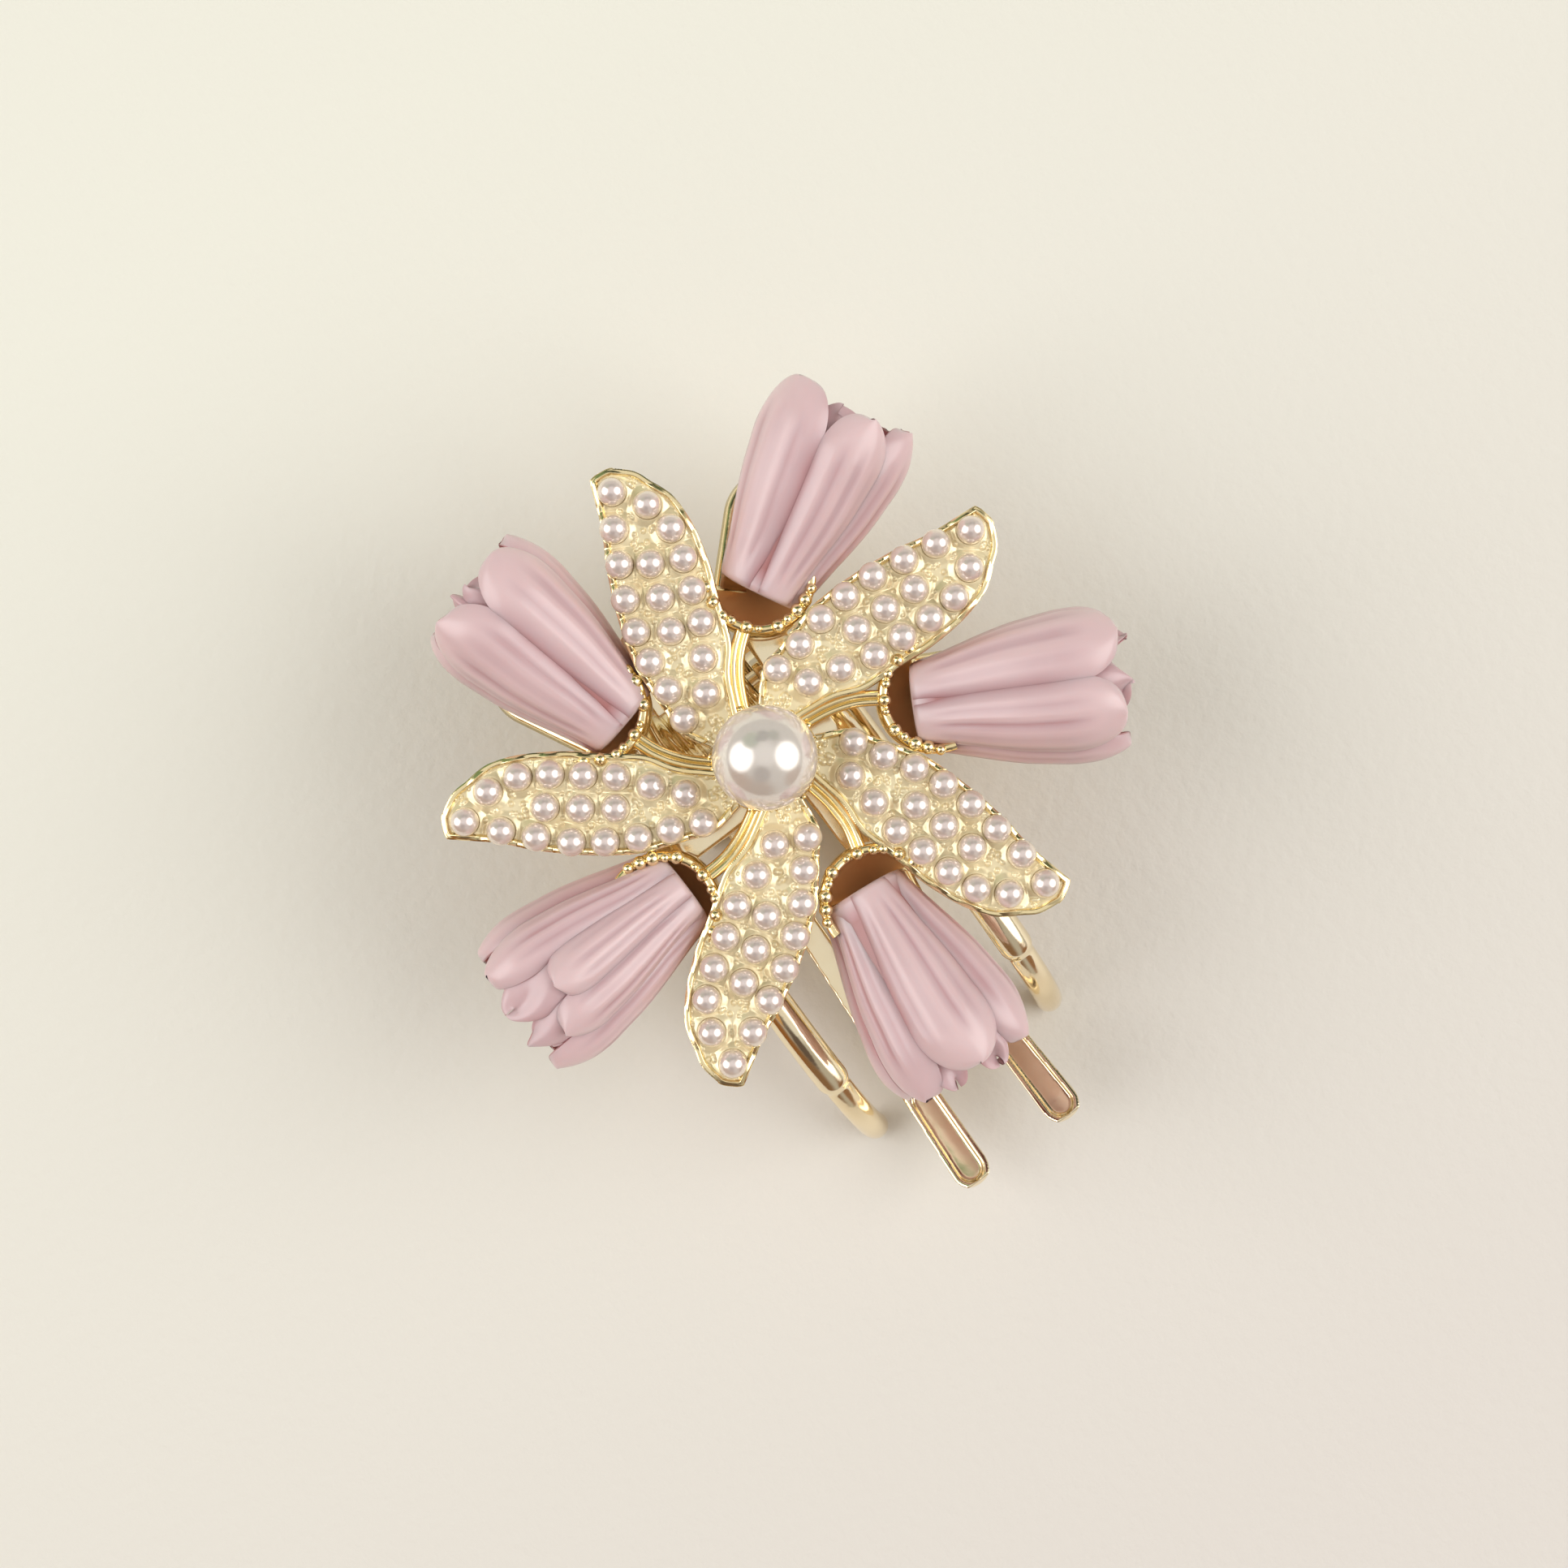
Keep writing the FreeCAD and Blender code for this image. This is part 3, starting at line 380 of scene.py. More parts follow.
for gy in np.arange(3.2, 24.6, GRAIN_PITCH):
    for gx in np.arange(-5.2, 4.4, GRAIN_PITCH):
        px = gx + chance.uniform(-GRAIN_STRAY, GRAIN_STRAY)
        py = gy + chance.uniform(-GRAIN_STRAY, GRAIN_STRAY)
        size, lucky = chance.uniform(*GRAIN_R), chance.random() < GRAIN_SHARE
        inside = blade_edges(np.array([py]))
        if not (inside[0][0] + 0.35 < px < inside[1][0] - 0.3 and lucky):
            continue
        if np.hypot(spots[:, 0] - px, spots[:, 1] - py).min() > PEARL_R + 0.06 + size * 0.6:
            grains.append((px, py, size))
for px, py, size in grains:
    off = np.hypot(flat[:, 0] - px, flat[:, 1] - py)
    dome = np.sqrt(np.clip(size**2 - off**2, 0, None)) * 1.1
    relief = np.maximum(relief, np.where(off < size, dome, -9))
points = [np.column_stack([flat, FIELD_Z + relief])]
faces = [tuple(reversed(f)) for f in grid_faces(rows, columns)]
finish_of = [0 if to_edge[f[0]] < RIM_WIDE * 1.1 else 2 for f in faces]
# the side wall follows the outline: rounded top edge, slight flare, turned under at the back
ahead = np.roll(outline, -1, 0) - np.roll(outline, 1, 0)
ahead[0], ahead[-1] = outline[1] - outline[0], outline[-1] - outline[-2]
ahead /= np.linalg.norm(ahead, axis=1)[:, None]
outward = np.stack([-ahead[:, 1], ahead[:, 0]], 1)
wall = ((-0.13, -0.02), (-0.04, -0.05), (0.0, -0.14), (0.0, -0.45), (0.03, -1.2),
        (0.06, -WALL_HIGH + 0.12), (0.0, -WALL_HIGH), (-0.8, -WALL_HIGH),
        (-0.95, -WALL_HIGH + 0.15), (-0.98, -WALL_HIGH + 0.8))
start = len(flat)
for out, down in wall:
    ring = outline + outward * out
    points.append(np.column_stack([ring, np.full(len(ring), FIELD_Z + RIM_HIGH + down)]))
wall_faces = grid_faces(len(wall), len(outline), start)
faces += [tuple(reversed(f)) for f in wall_faces]
bright = 3 * (len(outline) - 1)          # the three bands nearest the top are bright plating
# the wall bands below them get the painted shade gold, darker and more copper, where shade falls
finish_of += [0] * bright + [1] * (len(wall_faces) - bright)
# the hollow back's ceiling
ceiling_start = start + len(wall) * len(outline)
back_rows, back_columns = 40, 9
back_y = np.linspace(BLADE_Y[0], BACK_TIP, back_rows)
back = np.array([(a + (b - a) * (0.06 + 0.88 * t), y) for a, b, y in zip(*blade_edges(back_y), back_y)
                 for t in np.linspace(0, 1, back_columns)])
points.append(np.column_stack([back, np.full(len(back), FIELD_Z - BACK_DEEP)]))
back_faces = grid_faces(back_rows, back_columns, ceiling_start)
faces += back_faces
# the hollow back's ceiling gets the painted shade gold too
finish_of += [1] * len(back_faces)
petal_mesh = to_mesh("petal_blade", np.concatenate(points), faces,
                     [cast_gold, painted_shade_gold, floor_gold], finish_of)
for i in range(PETALS):
    blade = place("petal_%d" % (i + 1), petal_mesh, petal_turn(i))
    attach(blade, "upper")
    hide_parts("flower_casting")

# --------------------------------------------------------------------------------------------
# Small pearls. Eighteen moulded beads to a petal, each with a nacre lacquer, glued into its seat
# with its lower part out of sight.


def nacre(name, body, edge_gold_reflection, rough):
    """Pearl lacquer: milky bead whose edge turns warm cream as a painted reflection of the gold round it,
    glossy clear skin.
    """
    finish = bpy.data.materials.new(name)
    finish.use_nodes = True
    nodes, links = finish.node_tree.nodes, finish.node_tree.links
    shader = nodes["Principled BSDF"]
    shader.inputs["Roughness"].default_value = rough
    shader.inputs["IOR"].default_value = 1.9
    shader.inputs["Coat Weight"].default_value = 0.8
    shader.inputs["Coat Roughness"].default_value = 0.12
    shader.inputs["Metallic"].default_value = 0.42
    shader.inputs["Subsurface Weight"].default_value = 0.12
    shader.inputs["Subsurface Radius"].default_value = (0.0006, 0.0005, 0.0004)
    shader.inputs["Subsurface Scale"].default_value = 1.0
    shader.inputs["Sheen Weight"].default_value = 0.15
    shader.inputs["Sheen Tint"].default_value = (1.0, 0.9, 0.85, 1)
    # painted reflection: towards the bead's edge its colour turns to the warm tint of the gold it sits in
    facing = nodes.new("ShaderNodeLayerWeight")
    facing.inputs["Blend"].default_value = 0.42
    mix = nodes.new("ShaderNodeMix")
    mix.data_type = "RGBA"
    mix.inputs["A"].default_value = (*body, 1)
    mix.inputs["B"].default_value = (*edge_gold_reflection, 1)
    where = nodes.new("ShaderNodeTexCoord")
    cloud = nodes.new("ShaderNodeTexNoise")
    cloud.inputs["Scale"].default_value = 420.0
    cloud.inputs["Detail"].default_value = 3.0
    bump = nodes.new("ShaderNodeBump")
    bump.inputs["Strength"].default_value = 0.06
    bump.inputs["Distance"].default_value = 0.00005
    links.new(where.outputs["Object"], cloud.inputs["Vector"])
    links.new(facing.outputs["Facing"], mix.inputs["Factor"])
    links.new(mix.outputs["Result"], shader.inputs["Base Color"])
    links.new(cloud.outputs["Fac"], bump.inputs["Height"])
    links.new(bump.outputs["Normal"], shader.inputs["Normal"])
    return finish


def bead(radius, centre, rings=22, around=32, squash=1.0):
    """Points and faces of a bead, poles along Z."""
    pts = []
    for r in range(rings + 1):
        tilt = math.pi * r / rings
        for s in range(around):
            a = 2 * math.pi * s / around
            pts.append((centre[0] + radius * math.sin(tilt) * math.cos(a),
                        centre[1] + radius * math.sin(tilt) * math.sin(a),
                        centre[2] + radius * squash * math.cos(tilt)))
    return pts, [tuple(reversed(f)) for f in grid_faces(rings + 1, around, closed=True)]


# second colour: the painted reflection of the gold at each bead's edge
small_nacre = nacre("small_nacre", (0.78, 0.67, 0.65), (0.95, 0.84, 0.62), 0.17)
PEARL_Z = pearl_top - PEARL_R
GLUE_SINK = 0.01                         # each sits this much low in its glue
for i in range(PETALS):
    points, faces = [], []
    vary = random.Random(40 + i)
    for x, y in spots_of[i]:
        size, squash = PEARL_R - vary.uniform(0.0, 0.03), vary.uniform(0.97, 1.0)
        pts, fcs = bead(size, (x, y, PEARL_Z - GLUE_SINK), squash=squash)
        faces += [tuple(k + len(points) for k in f) for f in fcs]
        points += pts
    pearl_mesh = to_mesh(petal_names[i], points, faces, [small_nacre])
    pearls = place(petal_names[i], pearl_mesh, petal_turn(i))
    pearls.data.validate()
    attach(pearls, "upper")
    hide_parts(petal_names[i])

# --------------------------------------------------------------------------------------------
# Centre pearl. One 8 mm half-drilled bead, lacquered like the small ones, pushed on the
# casting's peg with a ring of cast grains round its foot.
large_nacre = nacre("large_nacre", (0.76, 0.70, 0.66), (0.93, 0.87, 0.77), 0.16)
CENTRE_R = (pearl_high.x - pearl_low.x) / 2 / MM
CENTRE_Z = pearl_high.z / MM - CENTRE_R
pts, fcs = bead(CENTRE_R - 0.01, (0, 0, CENTRE_Z), rings=64, around=96)
big_pearl = place("centre_bead", to_mesh("centre_bead", pts, fcs, [large_nacre]))
big_pearl.data.validate()
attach(big_pearl, "upper")
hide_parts("centre_pearl")

# --------------------------------------------------------------------------------------------
# Hub. The middle of the casting: a round seat for the centre pearl set about with cast grains,
# and on its back the post that is soldered to the upper jaw.
HUB_R, HUB_TOP = 4.15, FIELD_Z - 0.2
POST_R, POST_FOOT = 2.8, 11.9
HUB_GRAINS = 26
hub_profile = [(0.6, HUB_TOP - 0.5), (1.7, HUB_TOP - 0.35), (3.2, HUB_TOP - 0.02),
               (3.9, HUB_TOP + 0.05), (HUB_R - 0.05, HUB_TOP), (HUB_R, HUB_TOP - 0.15),
               (HUB_R, HUB_TOP - 1.3), (HUB_R - 0.15, HUB_TOP - 2.0), (3.2, HUB_TOP - 2.35),
               (2.85, HUB_TOP - 2.7), (POST_R, HUB_TOP - 3.4), (POST_R, POST_FOOT + 0.4),
               (2.85, POST_FOOT + 0.12), (POST_R, POST_FOOT + 0.01)]
points = []
around = 72
for r, z in hub_profile:
    for s in range(around):
        a = 2 * math.pi * s / around
        points.append((r * math.cos(a), r * math.sin(a), z))
faces = [tuple(reversed(f)) for f in grid_faces(len(hub_profile), around, closed=True)]
vary = random.Random(5)
for s in range(HUB_GRAINS):
    a = 2 * math.pi * (s + vary.uniform(-0.3, 0.3)) / HUB_GRAINS
    r = vary.uniform(3.75, 4.25)
    pts, fcs = bead(vary.uniform(0.2, 0.3), (r * math.cos(a), r * math.sin(a), HUB_TOP + 0.05), 8, 12)
    faces += [tuple(k + len(points) for k in f) for f in fcs]
    points += pts
hub = place("flower_hub", to_mesh("flower_hub", points, faces, [cast_gold]))
hub.data.validate()
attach(hub, "upper")
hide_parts("flower_casting")

# --------------------------------------------------------------------------------------------
# Arms. From the hub a pair of thin cast ribs curls along each petal's right edge out to the
# bud's cup, with a narrow open slot beside them.


def rod(path, radius, sides=14):
    """Round bar along points, closed with small domes."""
    path = np.array(path, float)
    way = np.gradient(path, axis=0)
    way /= np.linalg.norm(way, axis=1)[:, None]
    pts = []
    dome = [(0.05, -0.95), (0.6, -0.75), (0.92, -0.35)]
    ring_at = [(0, s, b) for s, b in dome] + [(k, 1.0, 0.0) for k in range(len(path))]
    ring_at += [(len(path) - 1, s, -b) for s, b in reversed(dome)]
    for k, share, beyond in ring_at:
        t = way[k]
        u = np.cross(t, (0, 0, 1.0))
        if np.linalg.norm(u) < 0.2:
            u = np.cross(t, (1.0, 0, 0))
        u /= np.linalg.norm(u)
        w = np.cross(u, t)
        for s in range(sides):
            a = 2 * math.pi * s / sides
            out = (u * math.cos(a) + w * math.sin(a)) * radius * share
            pts.append(path[k] + t * beyond * radius + out)
    fcs = [tuple(reversed(f)) for f in grid_faces(len(ring_at), sides, closed=True)]
    return [tuple(p) for p in pts], fcs


ARM_X, ARM_Y = (0.16, 1.0, 2.16, 3.75), (3.4, 5.92, 7.94, 9.6)
# each rib's distance to the side, radius and level: two on top and a thicker one beneath
ARM_RIBS = ((-0.28, 0.34, FIELD_Z - 0.55), (0.30, 0.30, FIELD_Z - 0.62), (0.0, 0.42, FIELD_Z - 1.15))
arm_t = np.linspace(0, 3, 26)
arm_line = np.stack([smooth_line(range(4), ARM_X, arm_t), smooth_line(range(4), ARM_Y, arm_t)], 1)
arm_way = np.gradient(arm_line, axis=0)
arm_way /= np.linalg.norm(arm_way, axis=1)[:, None]
arm_side = np.stack([arm_way[:, 1], -arm_way[:, 0]], 1)
points, faces = [], []
for off, size, z in ARM_RIBS:
    line = arm_line + arm_side * off
    pts, fcs = rod(np.column_stack([line, np.full(len(line), z)]), size)
    faces += [tuple(k + len(points) for k in f) for f in fcs]
    points += pts
arm_mesh = to_mesh("arm_ribs", points, faces, [cast_gold])
for i in range(PETALS):
    arm = place("arm_%d" % (i + 1), arm_mesh, petal_turn(i))
    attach(arm, "upper")
    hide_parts("flower_casting")

# --------------------------------------------------------------------------------------------
# Cups and cradles. Each bud is glued into an open cup with a beaded, scalloped top edge, its inside
# painted a deep copper tone as painted shade, and lies on a cradle that runs out under it. All one
# casting.
CUP_R, CUP_IN, CUP_WALL_T = 13.9, 3.7, 0.7      # place from the hub, inner radius, wall
CUP_TOP, CUP_FLOOR = FIELD_Z + 0.1, 13.0
CUP_HALF_TURN, CUP_STEPS = 92, 61               # the cup is open towards its bud
SCALLOP_HIGH, SCALLOP_RATE = 0.20, 2.6
CUP_BEADS, BEAD_HALF_TURN, BEAD_SIZES = 11, 78, (0.30, 0.60)
CRADLE_LEN, CRADLE_STEPS, CRADLE_HALF_W, CRADLE_T = 9.0, 24, 3.9, 0.75
CRADLE_GAP, CRADLE_BACK = 0.08, 1.6             # under the bud, and set back into the cup
CRADLE_SIDE = 15                                # points across the cradle on each face
# radius of a bud at distances along it
BUD_LEN = 16.5
BUD_S = (0.0, 2.0, 4.0, 6.0, 8.0, 10.0, 12.0, 14.0, 15.5, 16.5)
BUD_RADIUS = (3.60, 4.14, 4.74, 5.34, 5.85, 6.19, 6.45, 6.31, 5.88, 5.37)
BUD_AXIS_Z, BUD_RISE = 17.0, math.radians(6.0)
points, faces, finish_of = [], [], []
turns = np.radians(np.linspace(180 - CUP_HALF_TURN, 180 + CUP_HALF_TURN, CUP_STEPS))
section = ((CUP_IN + CUP_WALL_T, CUP_FLOOR), (CUP_IN + CUP_WALL_T, CUP_TOP - 0.15),
           (CUP_IN + 0.55, CUP_TOP), (CUP_IN + 0.15, CUP_TOP), (CUP_IN, CUP_TOP - 0.15),
           (CUP_IN, CUP_FLOOR + 0.9), (CUP_IN - 0.4, CUP_FLOOR + 0.5),
           (0.05, CUP_FLOOR + 0.45), (0.05, CUP_FLOOR), (CUP_IN + CUP_WALL_T, CUP_FLOOR))
for a in turns:
    scallop = SCALLOP_HIGH * abs(math.sin(SCALLOP_RATE * (a - math.pi)))
    for r, z in section:
        up = scallop if z > CUP_TOP - 0.5 else 0.0
        points.append((CUP_R + r * math.cos(a), r * math.sin(a), z + up))
cup_faces = grid_faces(len(turns), len(section))
faces += cup_faces
# outer wall and top edge get plain gold; the inner wall and floor get the painted shade gold
finish_of += [0 if (f[0] % len(section)) in (0, 1, 2, 3) else 1 for f in cup_faces]
vary = random.Random(21)
for k in range(CUP_BEADS):
    a = math.radians(180 - BEAD_HALF_TURN + 2.0 * BEAD_HALF_TURN * k / (CUP_BEADS - 1)
                     + vary.uniform(-4, 4))
    r = CUP_IN + CUP_WALL_T * 0.5 + vary.uniform(-0.10, 0.10)
    seat = (CUP_R + r * math.cos(a), r * math.sin(a), CUP_TOP + 0.02)
    pts, fcs = bead(vary.uniform(*BEAD_SIZES), seat, 10, 16)
    faces += [tuple(j + len(points) for j in f) for f in fcs]
    finish_of += [0] * len(fcs)
    points += pts
cradle_start = len(points)
lean = math.radians(-10.0)
over = np.linspace(-1, 1, CRADLE_SIDE)
cradle_ring = [(0.0, t) for t in over] + [(CRADLE_T, t) for t in np.linspace(1, -1, CRADLE_SIDE)]
ring_n = len(cradle_ring)
for s in np.linspace(0.3, CRADLE_LEN, CRADLE_STEPS):
    base_r = float(smooth_line(BUD_S, BUD_RADIUS, s)[0]) + CRADLE_GAP
    narrowing = 1 - 0.25 * max(0.0, (s - 6.5) / 2.5) ** 2
    spread = math.asin(min(0.95, CRADLE_HALF_W / (base_r + 0.8))) * narrowing
    for out, share in cradle_ring:
        a = share * spread
        r = base_r + out
        x, y, z = s, r * math.sin(a), -r * math.cos(a)
        x, z = (x * math.cos(BUD_RISE) - z * math.sin(BUD_RISE),
                x * math.sin(BUD_RISE) + z * math.cos(BUD_RISE))
        x, y = (x * math.cos(lean) - y * math.sin(lean),
                x * math.sin(lean) + y * math.cos(lean))
        points.append((CUP_R - CRADLE_BACK + x, y, BUD_AXIS_Z + z))
cradle_faces = grid_faces(CRADLE_STEPS, ring_n, cradle_start, closed=True)
cradle_faces.append(tuple(range(cradle_start, cradle_start + ring_n)))
cradle_faces.append(tuple(reversed(range(len(points) - ring_n, len(points)))))
faces += cradle_faces
finish_of += [0] * len(cradle_faces)
cup_mesh = to_mesh("cup_and_cradle", points, faces, [cast_gold, painted_shade_gold], finish_of)
for i in range(PETALS):
    cup = place("cup_%d" % (i + 1), cup_mesh, CUP_ANGLE - PITCH * i)
    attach(cup, "upper")
    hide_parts("flower_casting")

# --------------------------------------------------------------------------------------------
# Tulip buds. Five hand-glued buds of dusty-pink resin. Each is moulded in one piece: broad fluted
# outer petals that part near the mouth, and thin wavy inner petals inside.


def resin_pink(name):
    """Soft satin resin of one lilac-pink, with painted shade that turns it rose and darker in the folds,
    flutes, undersides and hidden heart; a waxy glow.
    """
    finish = bpy.data.materials.new(name)
    finish.use_nodes = True
    nodes, links = finish.node_tree.nodes, finish.node_tree.links
    shader = nodes["Principled BSDF"]
    shader.inputs["Roughness"].default_value = 0.30
    shader.inputs["Specular IOR Level"].default_value = 0.6
    shader.inputs["Coat Weight"].default_value = 0.25
    shader.inputs["Coat Roughness"].default_value = 0.22
    shader.inputs["Subsurface Weight"].default_value = 0.30
    shader.inputs["Subsurface Radius"].default_value = (1.0, 0.55, 0.5)
    shader.inputs["Subsurface Scale"].default_value = 0.0011
    fold_shade = nodes.new("ShaderNodeAttribute")
    fold_shade.attribute_name = "fold_shade"
    tones = nodes.new("ShaderNodeValToRGB")
    ramp = tones.color_ramp
    # painted shade ramp: lilac-pink where nothing shades it, darkening through rose to deep red-brown at
    # full shade
    ramp.elements[0].position, ramp.elements[0].color = 0.0, (0.73, 0.535, 0.555, 1)
    ramp.elements[1].position, ramp.elements[1].color = 1.0, (0.44, 0.17, 0.17, 1)
    for at, tone in ((0.30, (0.62, 0.43, 0.46, 1)), (0.65, (0.53, 0.28, 0.30, 1))):
        step = ramp.elements.new(at)
        step.color = tone
    where = nodes.new("ShaderNodeTexCoord")
    cloud = nodes.new("ShaderNodeTexNoise")
    cloud.inputs["Scale"].default_value = 170.0
    cloud.inputs["Detail"].default_value = 3.0
    drift = nodes.new("ShaderNodeMath")
    drift.operation = "MULTIPLY_ADD"
    drift.inputs[1].default_value = 0.22
    spread = nodes.new("ShaderNodeMath")
    spread.operation = "SUBTRACT"
    spread.inputs[1].default_value = 0.11
    fine = nodes.new("ShaderNodeTexNoise")
    fine.inputs["Scale"].default_value = 1400.0
    bump = nodes.new("ShaderNodeBump")
    bump.inputs["Strength"].default_value = 0.10
    bump.inputs["Distance"].default_value = 0.00006
    links.new(where.outputs["Object"], cloud.inputs["Vector"])
    links.new(where.outputs["Object"], fine.inputs["Vector"])
    links.new(cloud.outputs["Fac"], drift.inputs[0])
    links.new(fold_shade.outputs["Fac"], drift.inputs[2])
    links.new(drift.outputs["Value"], spread.inputs[0])
    links.new(spread.outputs["Value"], tones.inputs["Fac"])
    links.new(tones.outputs["Color"], shader.inputs["Base Color"])
    links.new(fine.outputs["Fac"], bump.inputs["Height"])
    links.new(bump.outputs["Normal"], shader.inputs["Normal"])
    return finish


def bud_petal(azimuth, half, tip, sink, thick, crown, flutes, curl, wave, seed, shoulder, low=0.15):
    """One petal of a bud as a closed slab. Azimuth 0 faces up; half is half its angle, in degrees."""
    rng = random.Random(seed)
    phase = [rng.uniform(0, 6.28) for _ in range(4)]
    us = np.sin(np.linspace(-math.pi / 2, math.pi / 2, 34))
    loop = [(u, 1) for u in us] + [(u, -1) for u in us[::-1][1:-1]]
    s0 = tip * shoulder
    body = [(s, 1.0) for s in np.linspace(low, s0, 34)]
    body += [(s0 + (tip - s0) * math.sin(t), math.cos(t) ** 0.72)
             for t in np.linspace(0, math.pi / 2, 28)[1:]]
    pts, fold_shades = [], []
    for s, wide in body:
        base_r = float(smooth_line(BUD_S, BUD_RADIUS, min(s, BUD_LEN))[0])
        ease = soft_step(0.0, 5.0, s)
        foot = 0.35 * (1 - math.sqrt(max(0.0, 1 - max(0.0, 1 - s / 0.45) ** 2)))
        for u, side in loop:
            edge = abs(u)
            lean_in = -curl * soft_step(0.62, 1.0, s / tip) * (1 - 0.3 * u)
            dome = -crown * (0.35 + 0.65 * ease) * edge**2.2
            flute = 0.0
            for at, deep, broad in flutes:
                flute += deep * math.exp(-(((u - at) / broad) ** 2))
            flute *= soft_step(0.8, 3.2, s) * (1 - soft_step(tip * 0.70, tip * 0.90, s))
            ripple = wave * math.sin(3.1 * u + 0.9 * s + phase[0]) * soft_step(0.6, 1.0, s / tip)
            thinning = 1 - 0.45 * soft_step(0.5, 1.0, s / tip)
            slab = thick * thinning * math.sqrt(max(0.0, 1 - edge**9)) * max(0.12, wide) ** 0.35
            r = base_r - sink + dome + lean_in + ripple - foot
            r += (-flute if side > 0 else 0.0) + (0.0 if side > 0 else -slab)
            sway = 1.2 * math.sin(0.35 * s + phase[1])
            a = math.radians(azimuth + half * wide * u * (0.82 + 0.18 * ease) + sway)
            s_here = s + wave * 1.6 * math.sin(4.0 * u + phase[2]) * soft_step(0.7, 1.0, s / tip)
            pts.append((s_here, -r * math.sin(a), r * math.cos(a)))
            # painted shade amount: strong at the petal's edges and in its flutes, easing towards the
            # mouth, more on petals sunk inside; the underside gets 0.75
            fold_shade_amount = edge**4 * 0.75 * (1 - 0.75 * soft_step(0.62, 0.9, s / tip))
            fold_shade_amount += 0.50 * min(1.0, flute / 0.16)
            fold_shades.append(min(1.0, fold_shade_amount + 0.30 * sink / 1.2) if side > 0 else 0.75)
    fcs = [tuple(reversed(f)) for f in grid_faces(len(body), len(loop), closed=True)]
    fcs.append(tuple(range(len(loop))))
    return pts, fcs, fold_shades


def bud_mesh(name, petals, width):
    """Whole bud along +X from its base: solid heart plus its petals."""
    points, fold_shades = [], []
    around = 48
    heart = [(0.02, 0.05), (0.0, 2.6), (0.12, 3.15), (0.5, 3.35), (2, 3.45), (5, 4.1), (8, 4.75),
             (10.5, 4.9), (11.6, 4.3), (12.1, 2.6), (12.2, 0.05)]
    for s, r in heart:
        for k in range(around):
            a = 2 * math.pi * k / around
            points.append((s, r * math.cos(a), r * math.sin(a)))
            # painted shade: the heart inside the bud gets full shade, its foot only a little
            fold_shades.append(0.2 if s < 1 else 1.0)
    faces = [tuple(reversed(f)) for f in grid_faces(len(heart), around, closed=True)]
    for petal in petals:
        pts, fcs, fld = bud_petal(**petal)
        faces += [tuple(k + len(points) for k in f) for f in fcs]
        points += pts
        fold_shades += fld
    points = [(x, y * width, z) for x, y, z in points]
    mesh = to_mesh(name, points, faces, [bud_resin])
    mesh.validate()
    attribute = mesh.attributes.new("fold_shade", "FLOAT", "POINT")
    attribute.data.foreach_set("value", np.array(fold_shades, np.float32))
    return mesh


bud_resin = resin_pink("bud_resin")
# flutes: place across the petal, depth, breadth
FLUTES = ((-0.48, 0.10, 0.09), (-0.12, 0.17, 0.08), (0.27, 0.07, 0.10), (0.60, 0.11, 0.09))
FEW = ((-0.34, 0.13, 0.10), (0.10, 0.15, 0.08), (0.52, 0.07, 0.10))


def outer(azimuth, half, tip, seed, sink=0.0, flutes=FLUTES):
    """Broad fluted petal."""
    return dict(azimuth=azimuth, half=half, tip=tip, sink=sink, thick=1.0, crown=1.0,
                flutes=flutes, curl=0.0, wave=0.05, seed=seed, shoulder=0.76)


def inner(azimuth, half, tip, seed, sink=1.35):
    """Thin wavy petal that shows in the mouth."""
    return dict(azimuth=azimuth, half=half, tip=tip, sink=sink, thick=0.55, crown=0.5,
                flutes=(), curl=0.3, wave=0.28, seed=seed, shoulder=0.80, low=6.0)


# positive azimuth turns towards the left of a bud seen from above with its mouth away
bud_petals = {
    1: [outer(-50, 45, 16.2, 1), outer(24, 30, 15.5, 2, flutes=FEW), outer(72, 34, 16.0, 3, sink=0.2),
        outer(140, 40, 15.8, 4), outer(-145, 46, 15.2, 5), inner(-4, 40, 15.2, 6), inner(-75, 40, 15.2, 7),
        inner(110, 45, 15.0, 8), inner(180, 40, 15.0, 9)],
    2: [outer(-42, 42, 16.0, 11, flutes=FEW), outer(32, 38, 15.9, 12), outer(92, 30, 16.1, 13, sink=0.2),
        outer(152, 36, 15.8, 14), outer(-125, 46, 15.8, 15), inner(10, 42, 16.4, 16),
        inner(-55, 34, 16.4, 17), inner(100, 45, 15.2, 18), inner(180, 40, 15.2, 19)],
    3: [outer(-8, 33, 15.8, 21), outer(52, 31, 16.3, 22, sink=0.45),
        outer(-66, 34, 16.0, 23, sink=0.35), outer(118, 36, 15.8, 24), outer(-130, 34, 15.8, 25),
        outer(180, 34, 15.8, 26), inner(24, 26, 16.3, 27), inner(-36, 30, 16.5, 28),
        inner(100, 45, 15.2, 29), inner(-110, 45, 15.2, 30)],
    4: [outer(2, 24, 12.4, 31, flutes=FEW), outer(-33, 24, 14.0, 32, sink=0.15),
        outer(-72, 26, 16.2, 33, sink=0.1), outer(44, 28, 16.1, 34, sink=0.2),
        outer(100, 36, 15.8, 35), outer(-130, 40, 15.8, 36), outer(165, 36, 15.8, 37),
        inner(6, 26, 16.3, 38, sink=1.0), inner(-38, 30, 16.4, 39, sink=1.0),
        inner(110, 45, 15.2, 40), inner(-120, 45, 15.2, 41)],
    5: [outer(-38, 40, 15.7, 51), outer(38, 38, 16.0, 52, flutes=FEW),
        outer(98, 32, 16.3, 53, sink=0.2), outer(158, 36, 15.8, 54), outer(-122, 46, 15.8, 55),
        inner(2, 38, 15.6, 56), inner(-20, 20, 15.9, 57, sink=1.7),
        inner(100, 45, 15.2, 58), inner(180, 40, 15.2, 59)],
}
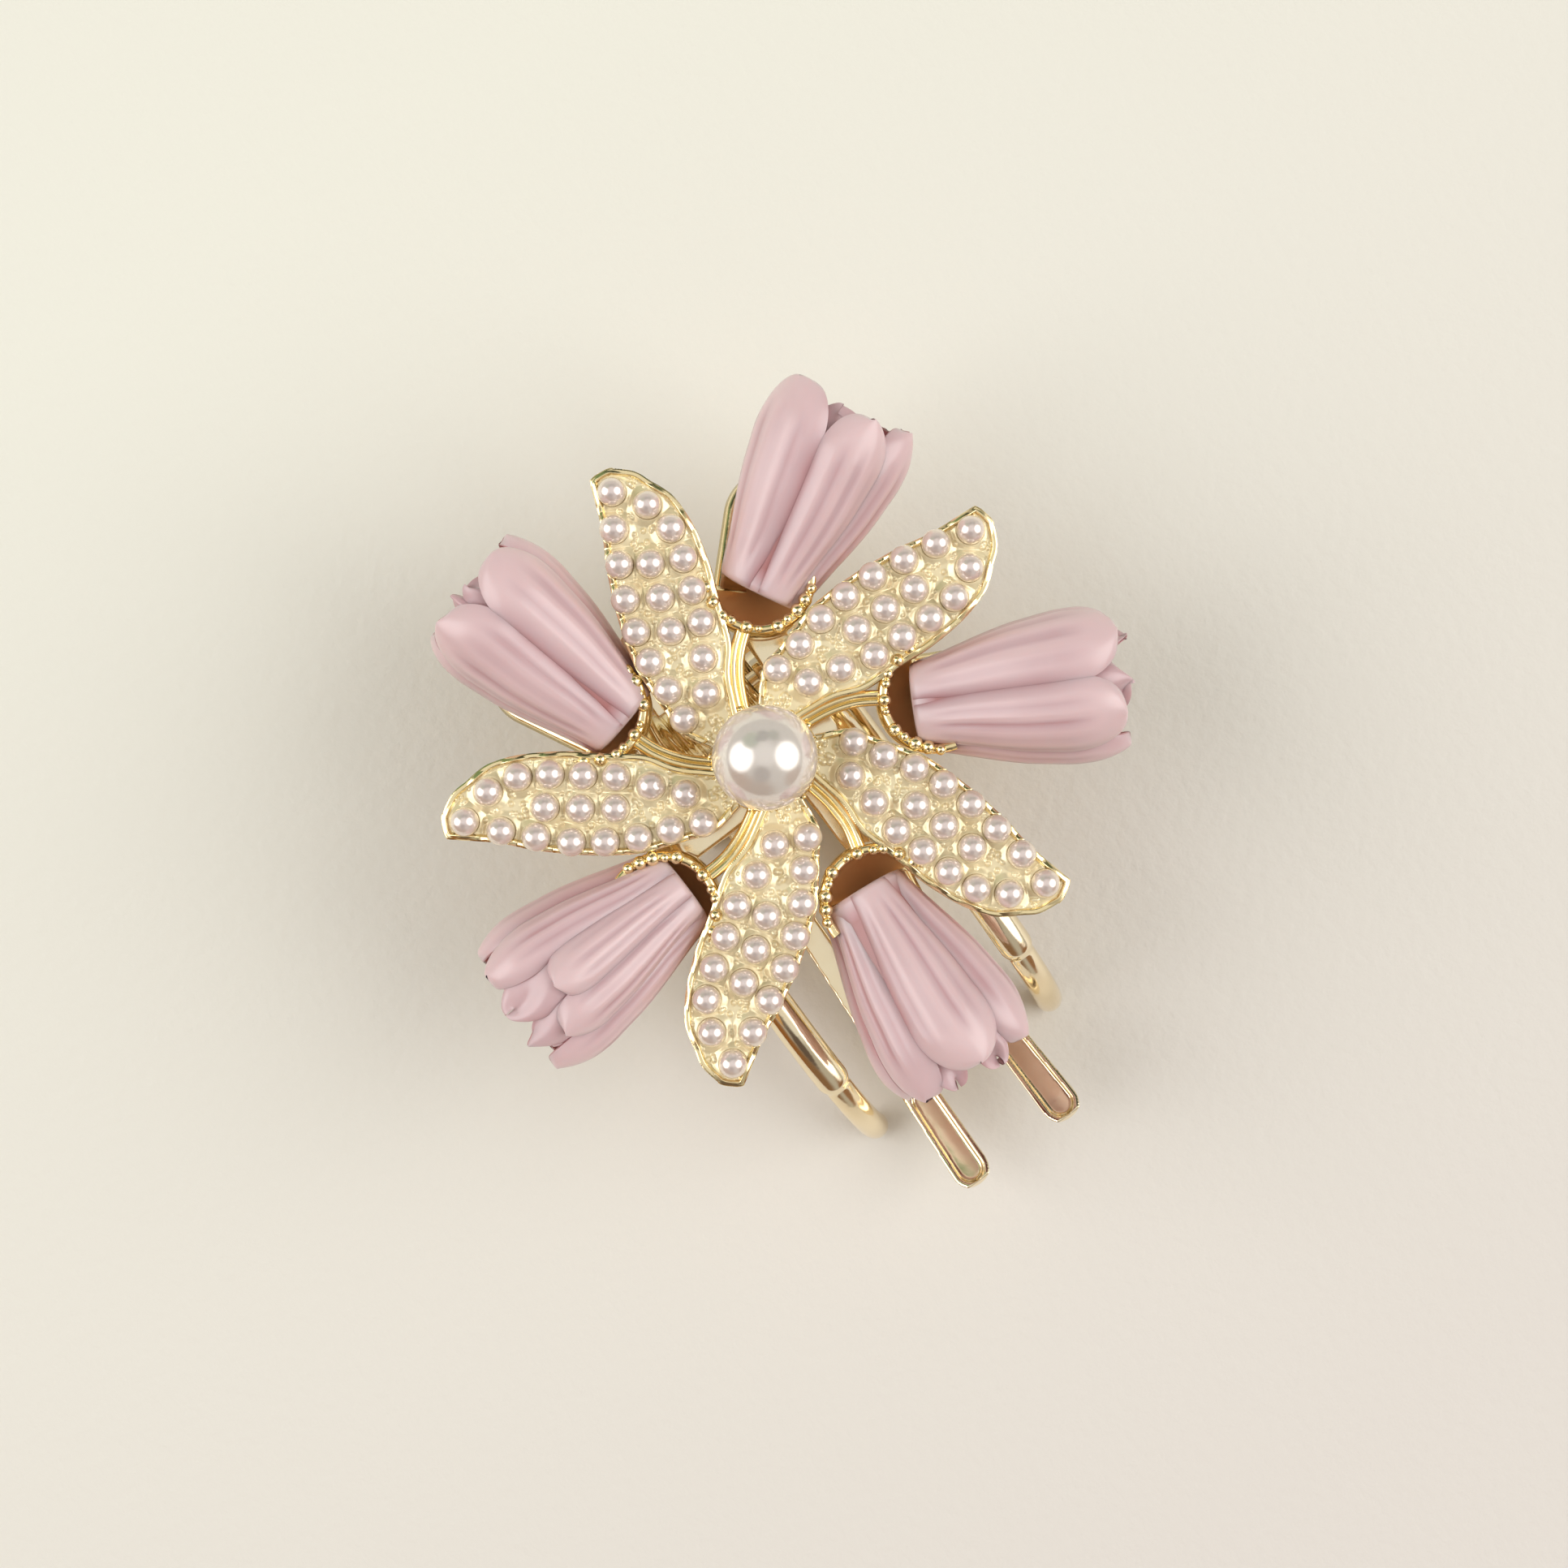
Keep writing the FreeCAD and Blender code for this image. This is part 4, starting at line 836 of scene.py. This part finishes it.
# base (x, y) from the hub's axis, and direction, as each bud was glued in
BUD_SEATS = ((7.21, 10.57, 27.7), (11.65, -3.55, -28.2), (0.0, -12.62, -94.8),
             (-10.86, -4.24, -178.7), (-7.0, 8.64, 103.5))
BUD_WIDTH = (1.01, 0.99, 1.05, 1.01, 0.98)     # some came out of the mould a little squashed
for i, (x, y, heading) in enumerate(BUD_SEATS):
    node = "bud_%d" % (i + 1)
    bud = place(node + "_resin", bud_mesh(node + "_resin", bud_petals[i + 1], BUD_WIDTH[i]))
    bud.matrix_world = (Matrix.Translation((HUB.x + x * MM, HUB.y + y * MM, BUD_AXIS_Z * MM))
                        @ Matrix.Rotation(math.radians(heading), 4, "Z")
                        @ Matrix.Rotation(-BUD_RISE, 4, "Y"))
    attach(bud, "upper")
    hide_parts(node)

# --------------------------------------------------------------------------------------------
# Jaws. Two plated castings with soft edges: the upper one carries the flower and ends in two
# round outer tines, the lower one in two grooved fingers. Both have a thumb lever behind.


def softened(name, node, grain, passes, finish):
    """Copy of a solid part with its edges rounded as plating leaves them."""
    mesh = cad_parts[node].data.copy()
    mesh.materials.clear()
    mesh.materials.append(finish)
    piece = bpy.data.objects.new(name, mesh)
    bpy.context.collection.objects.link(piece)
    weld = piece.modifiers.new("weld", "WELD")
    weld.merge_threshold = 0.000002
    remesh = piece.modifiers.new("remesh", "REMESH")
    remesh.mode = "VOXEL"
    remesh.voxel_size = grain
    remesh.use_smooth_shade = True
    soften = piece.modifiers.new("soften", "SMOOTH")
    soften.factor, soften.iterations = 0.5, passes
    bpy.context.view_layer.update()
    shaped = piece.evaluated_get(bpy.context.evaluated_depsgraph_get())
    done = bpy.data.meshes.new_from_object(shaped)
    piece.modifiers.clear()
    piece.data = done
    done.polygons.foreach_set("use_smooth", [True] * len(done.polygons))
    return piece


jaw_gold = gold_plating("jaw_gold", (0.95, 0.83, 0.60), (0.88, 0.70, 0.42), 0.12, 0.12, 700.0, worn=0.2)
upper = softened("upper_jaw_plated", "upper_jaw", 0.00013, 6, jaw_gold)
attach(upper, "upper")
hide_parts("upper_jaw")
lower = softened("lower_jaw_plated", "lower_jaw", 0.00011, 5, jaw_gold)
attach(lower, "lower")
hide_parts("lower_jaw")

# --------------------------------------------------------------------------------------------
# Hinge pin and spring. A plated pin peened over outside the ears, and round it a torsion spring of plated
# wire with its left leg against the upper jaw and its right leg against the lower; the spring is baked in
# place and follows neither jaw.
pin_gold = gold_plating("pin_gold", (0.84, 0.70, 0.46), (0.74, 0.56, 0.32), 0.18, 0.2, 1200.0)
pin = softened("hinge_pin_plated", "hinge_pin", 0.00008, 5, pin_gold)
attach(pin, "upper")
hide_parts("hinge_pin")
spring_gold = gold_plating("spring_gold", (0.84, 0.70, 0.42), (0.70, 0.52, 0.26), 0.16, 0.1, 900.0)
spring = softened("torsion_spring_wire", "torsion_spring", 0.00006, 3, spring_gold)
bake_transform(spring)
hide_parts("torsion_spring")
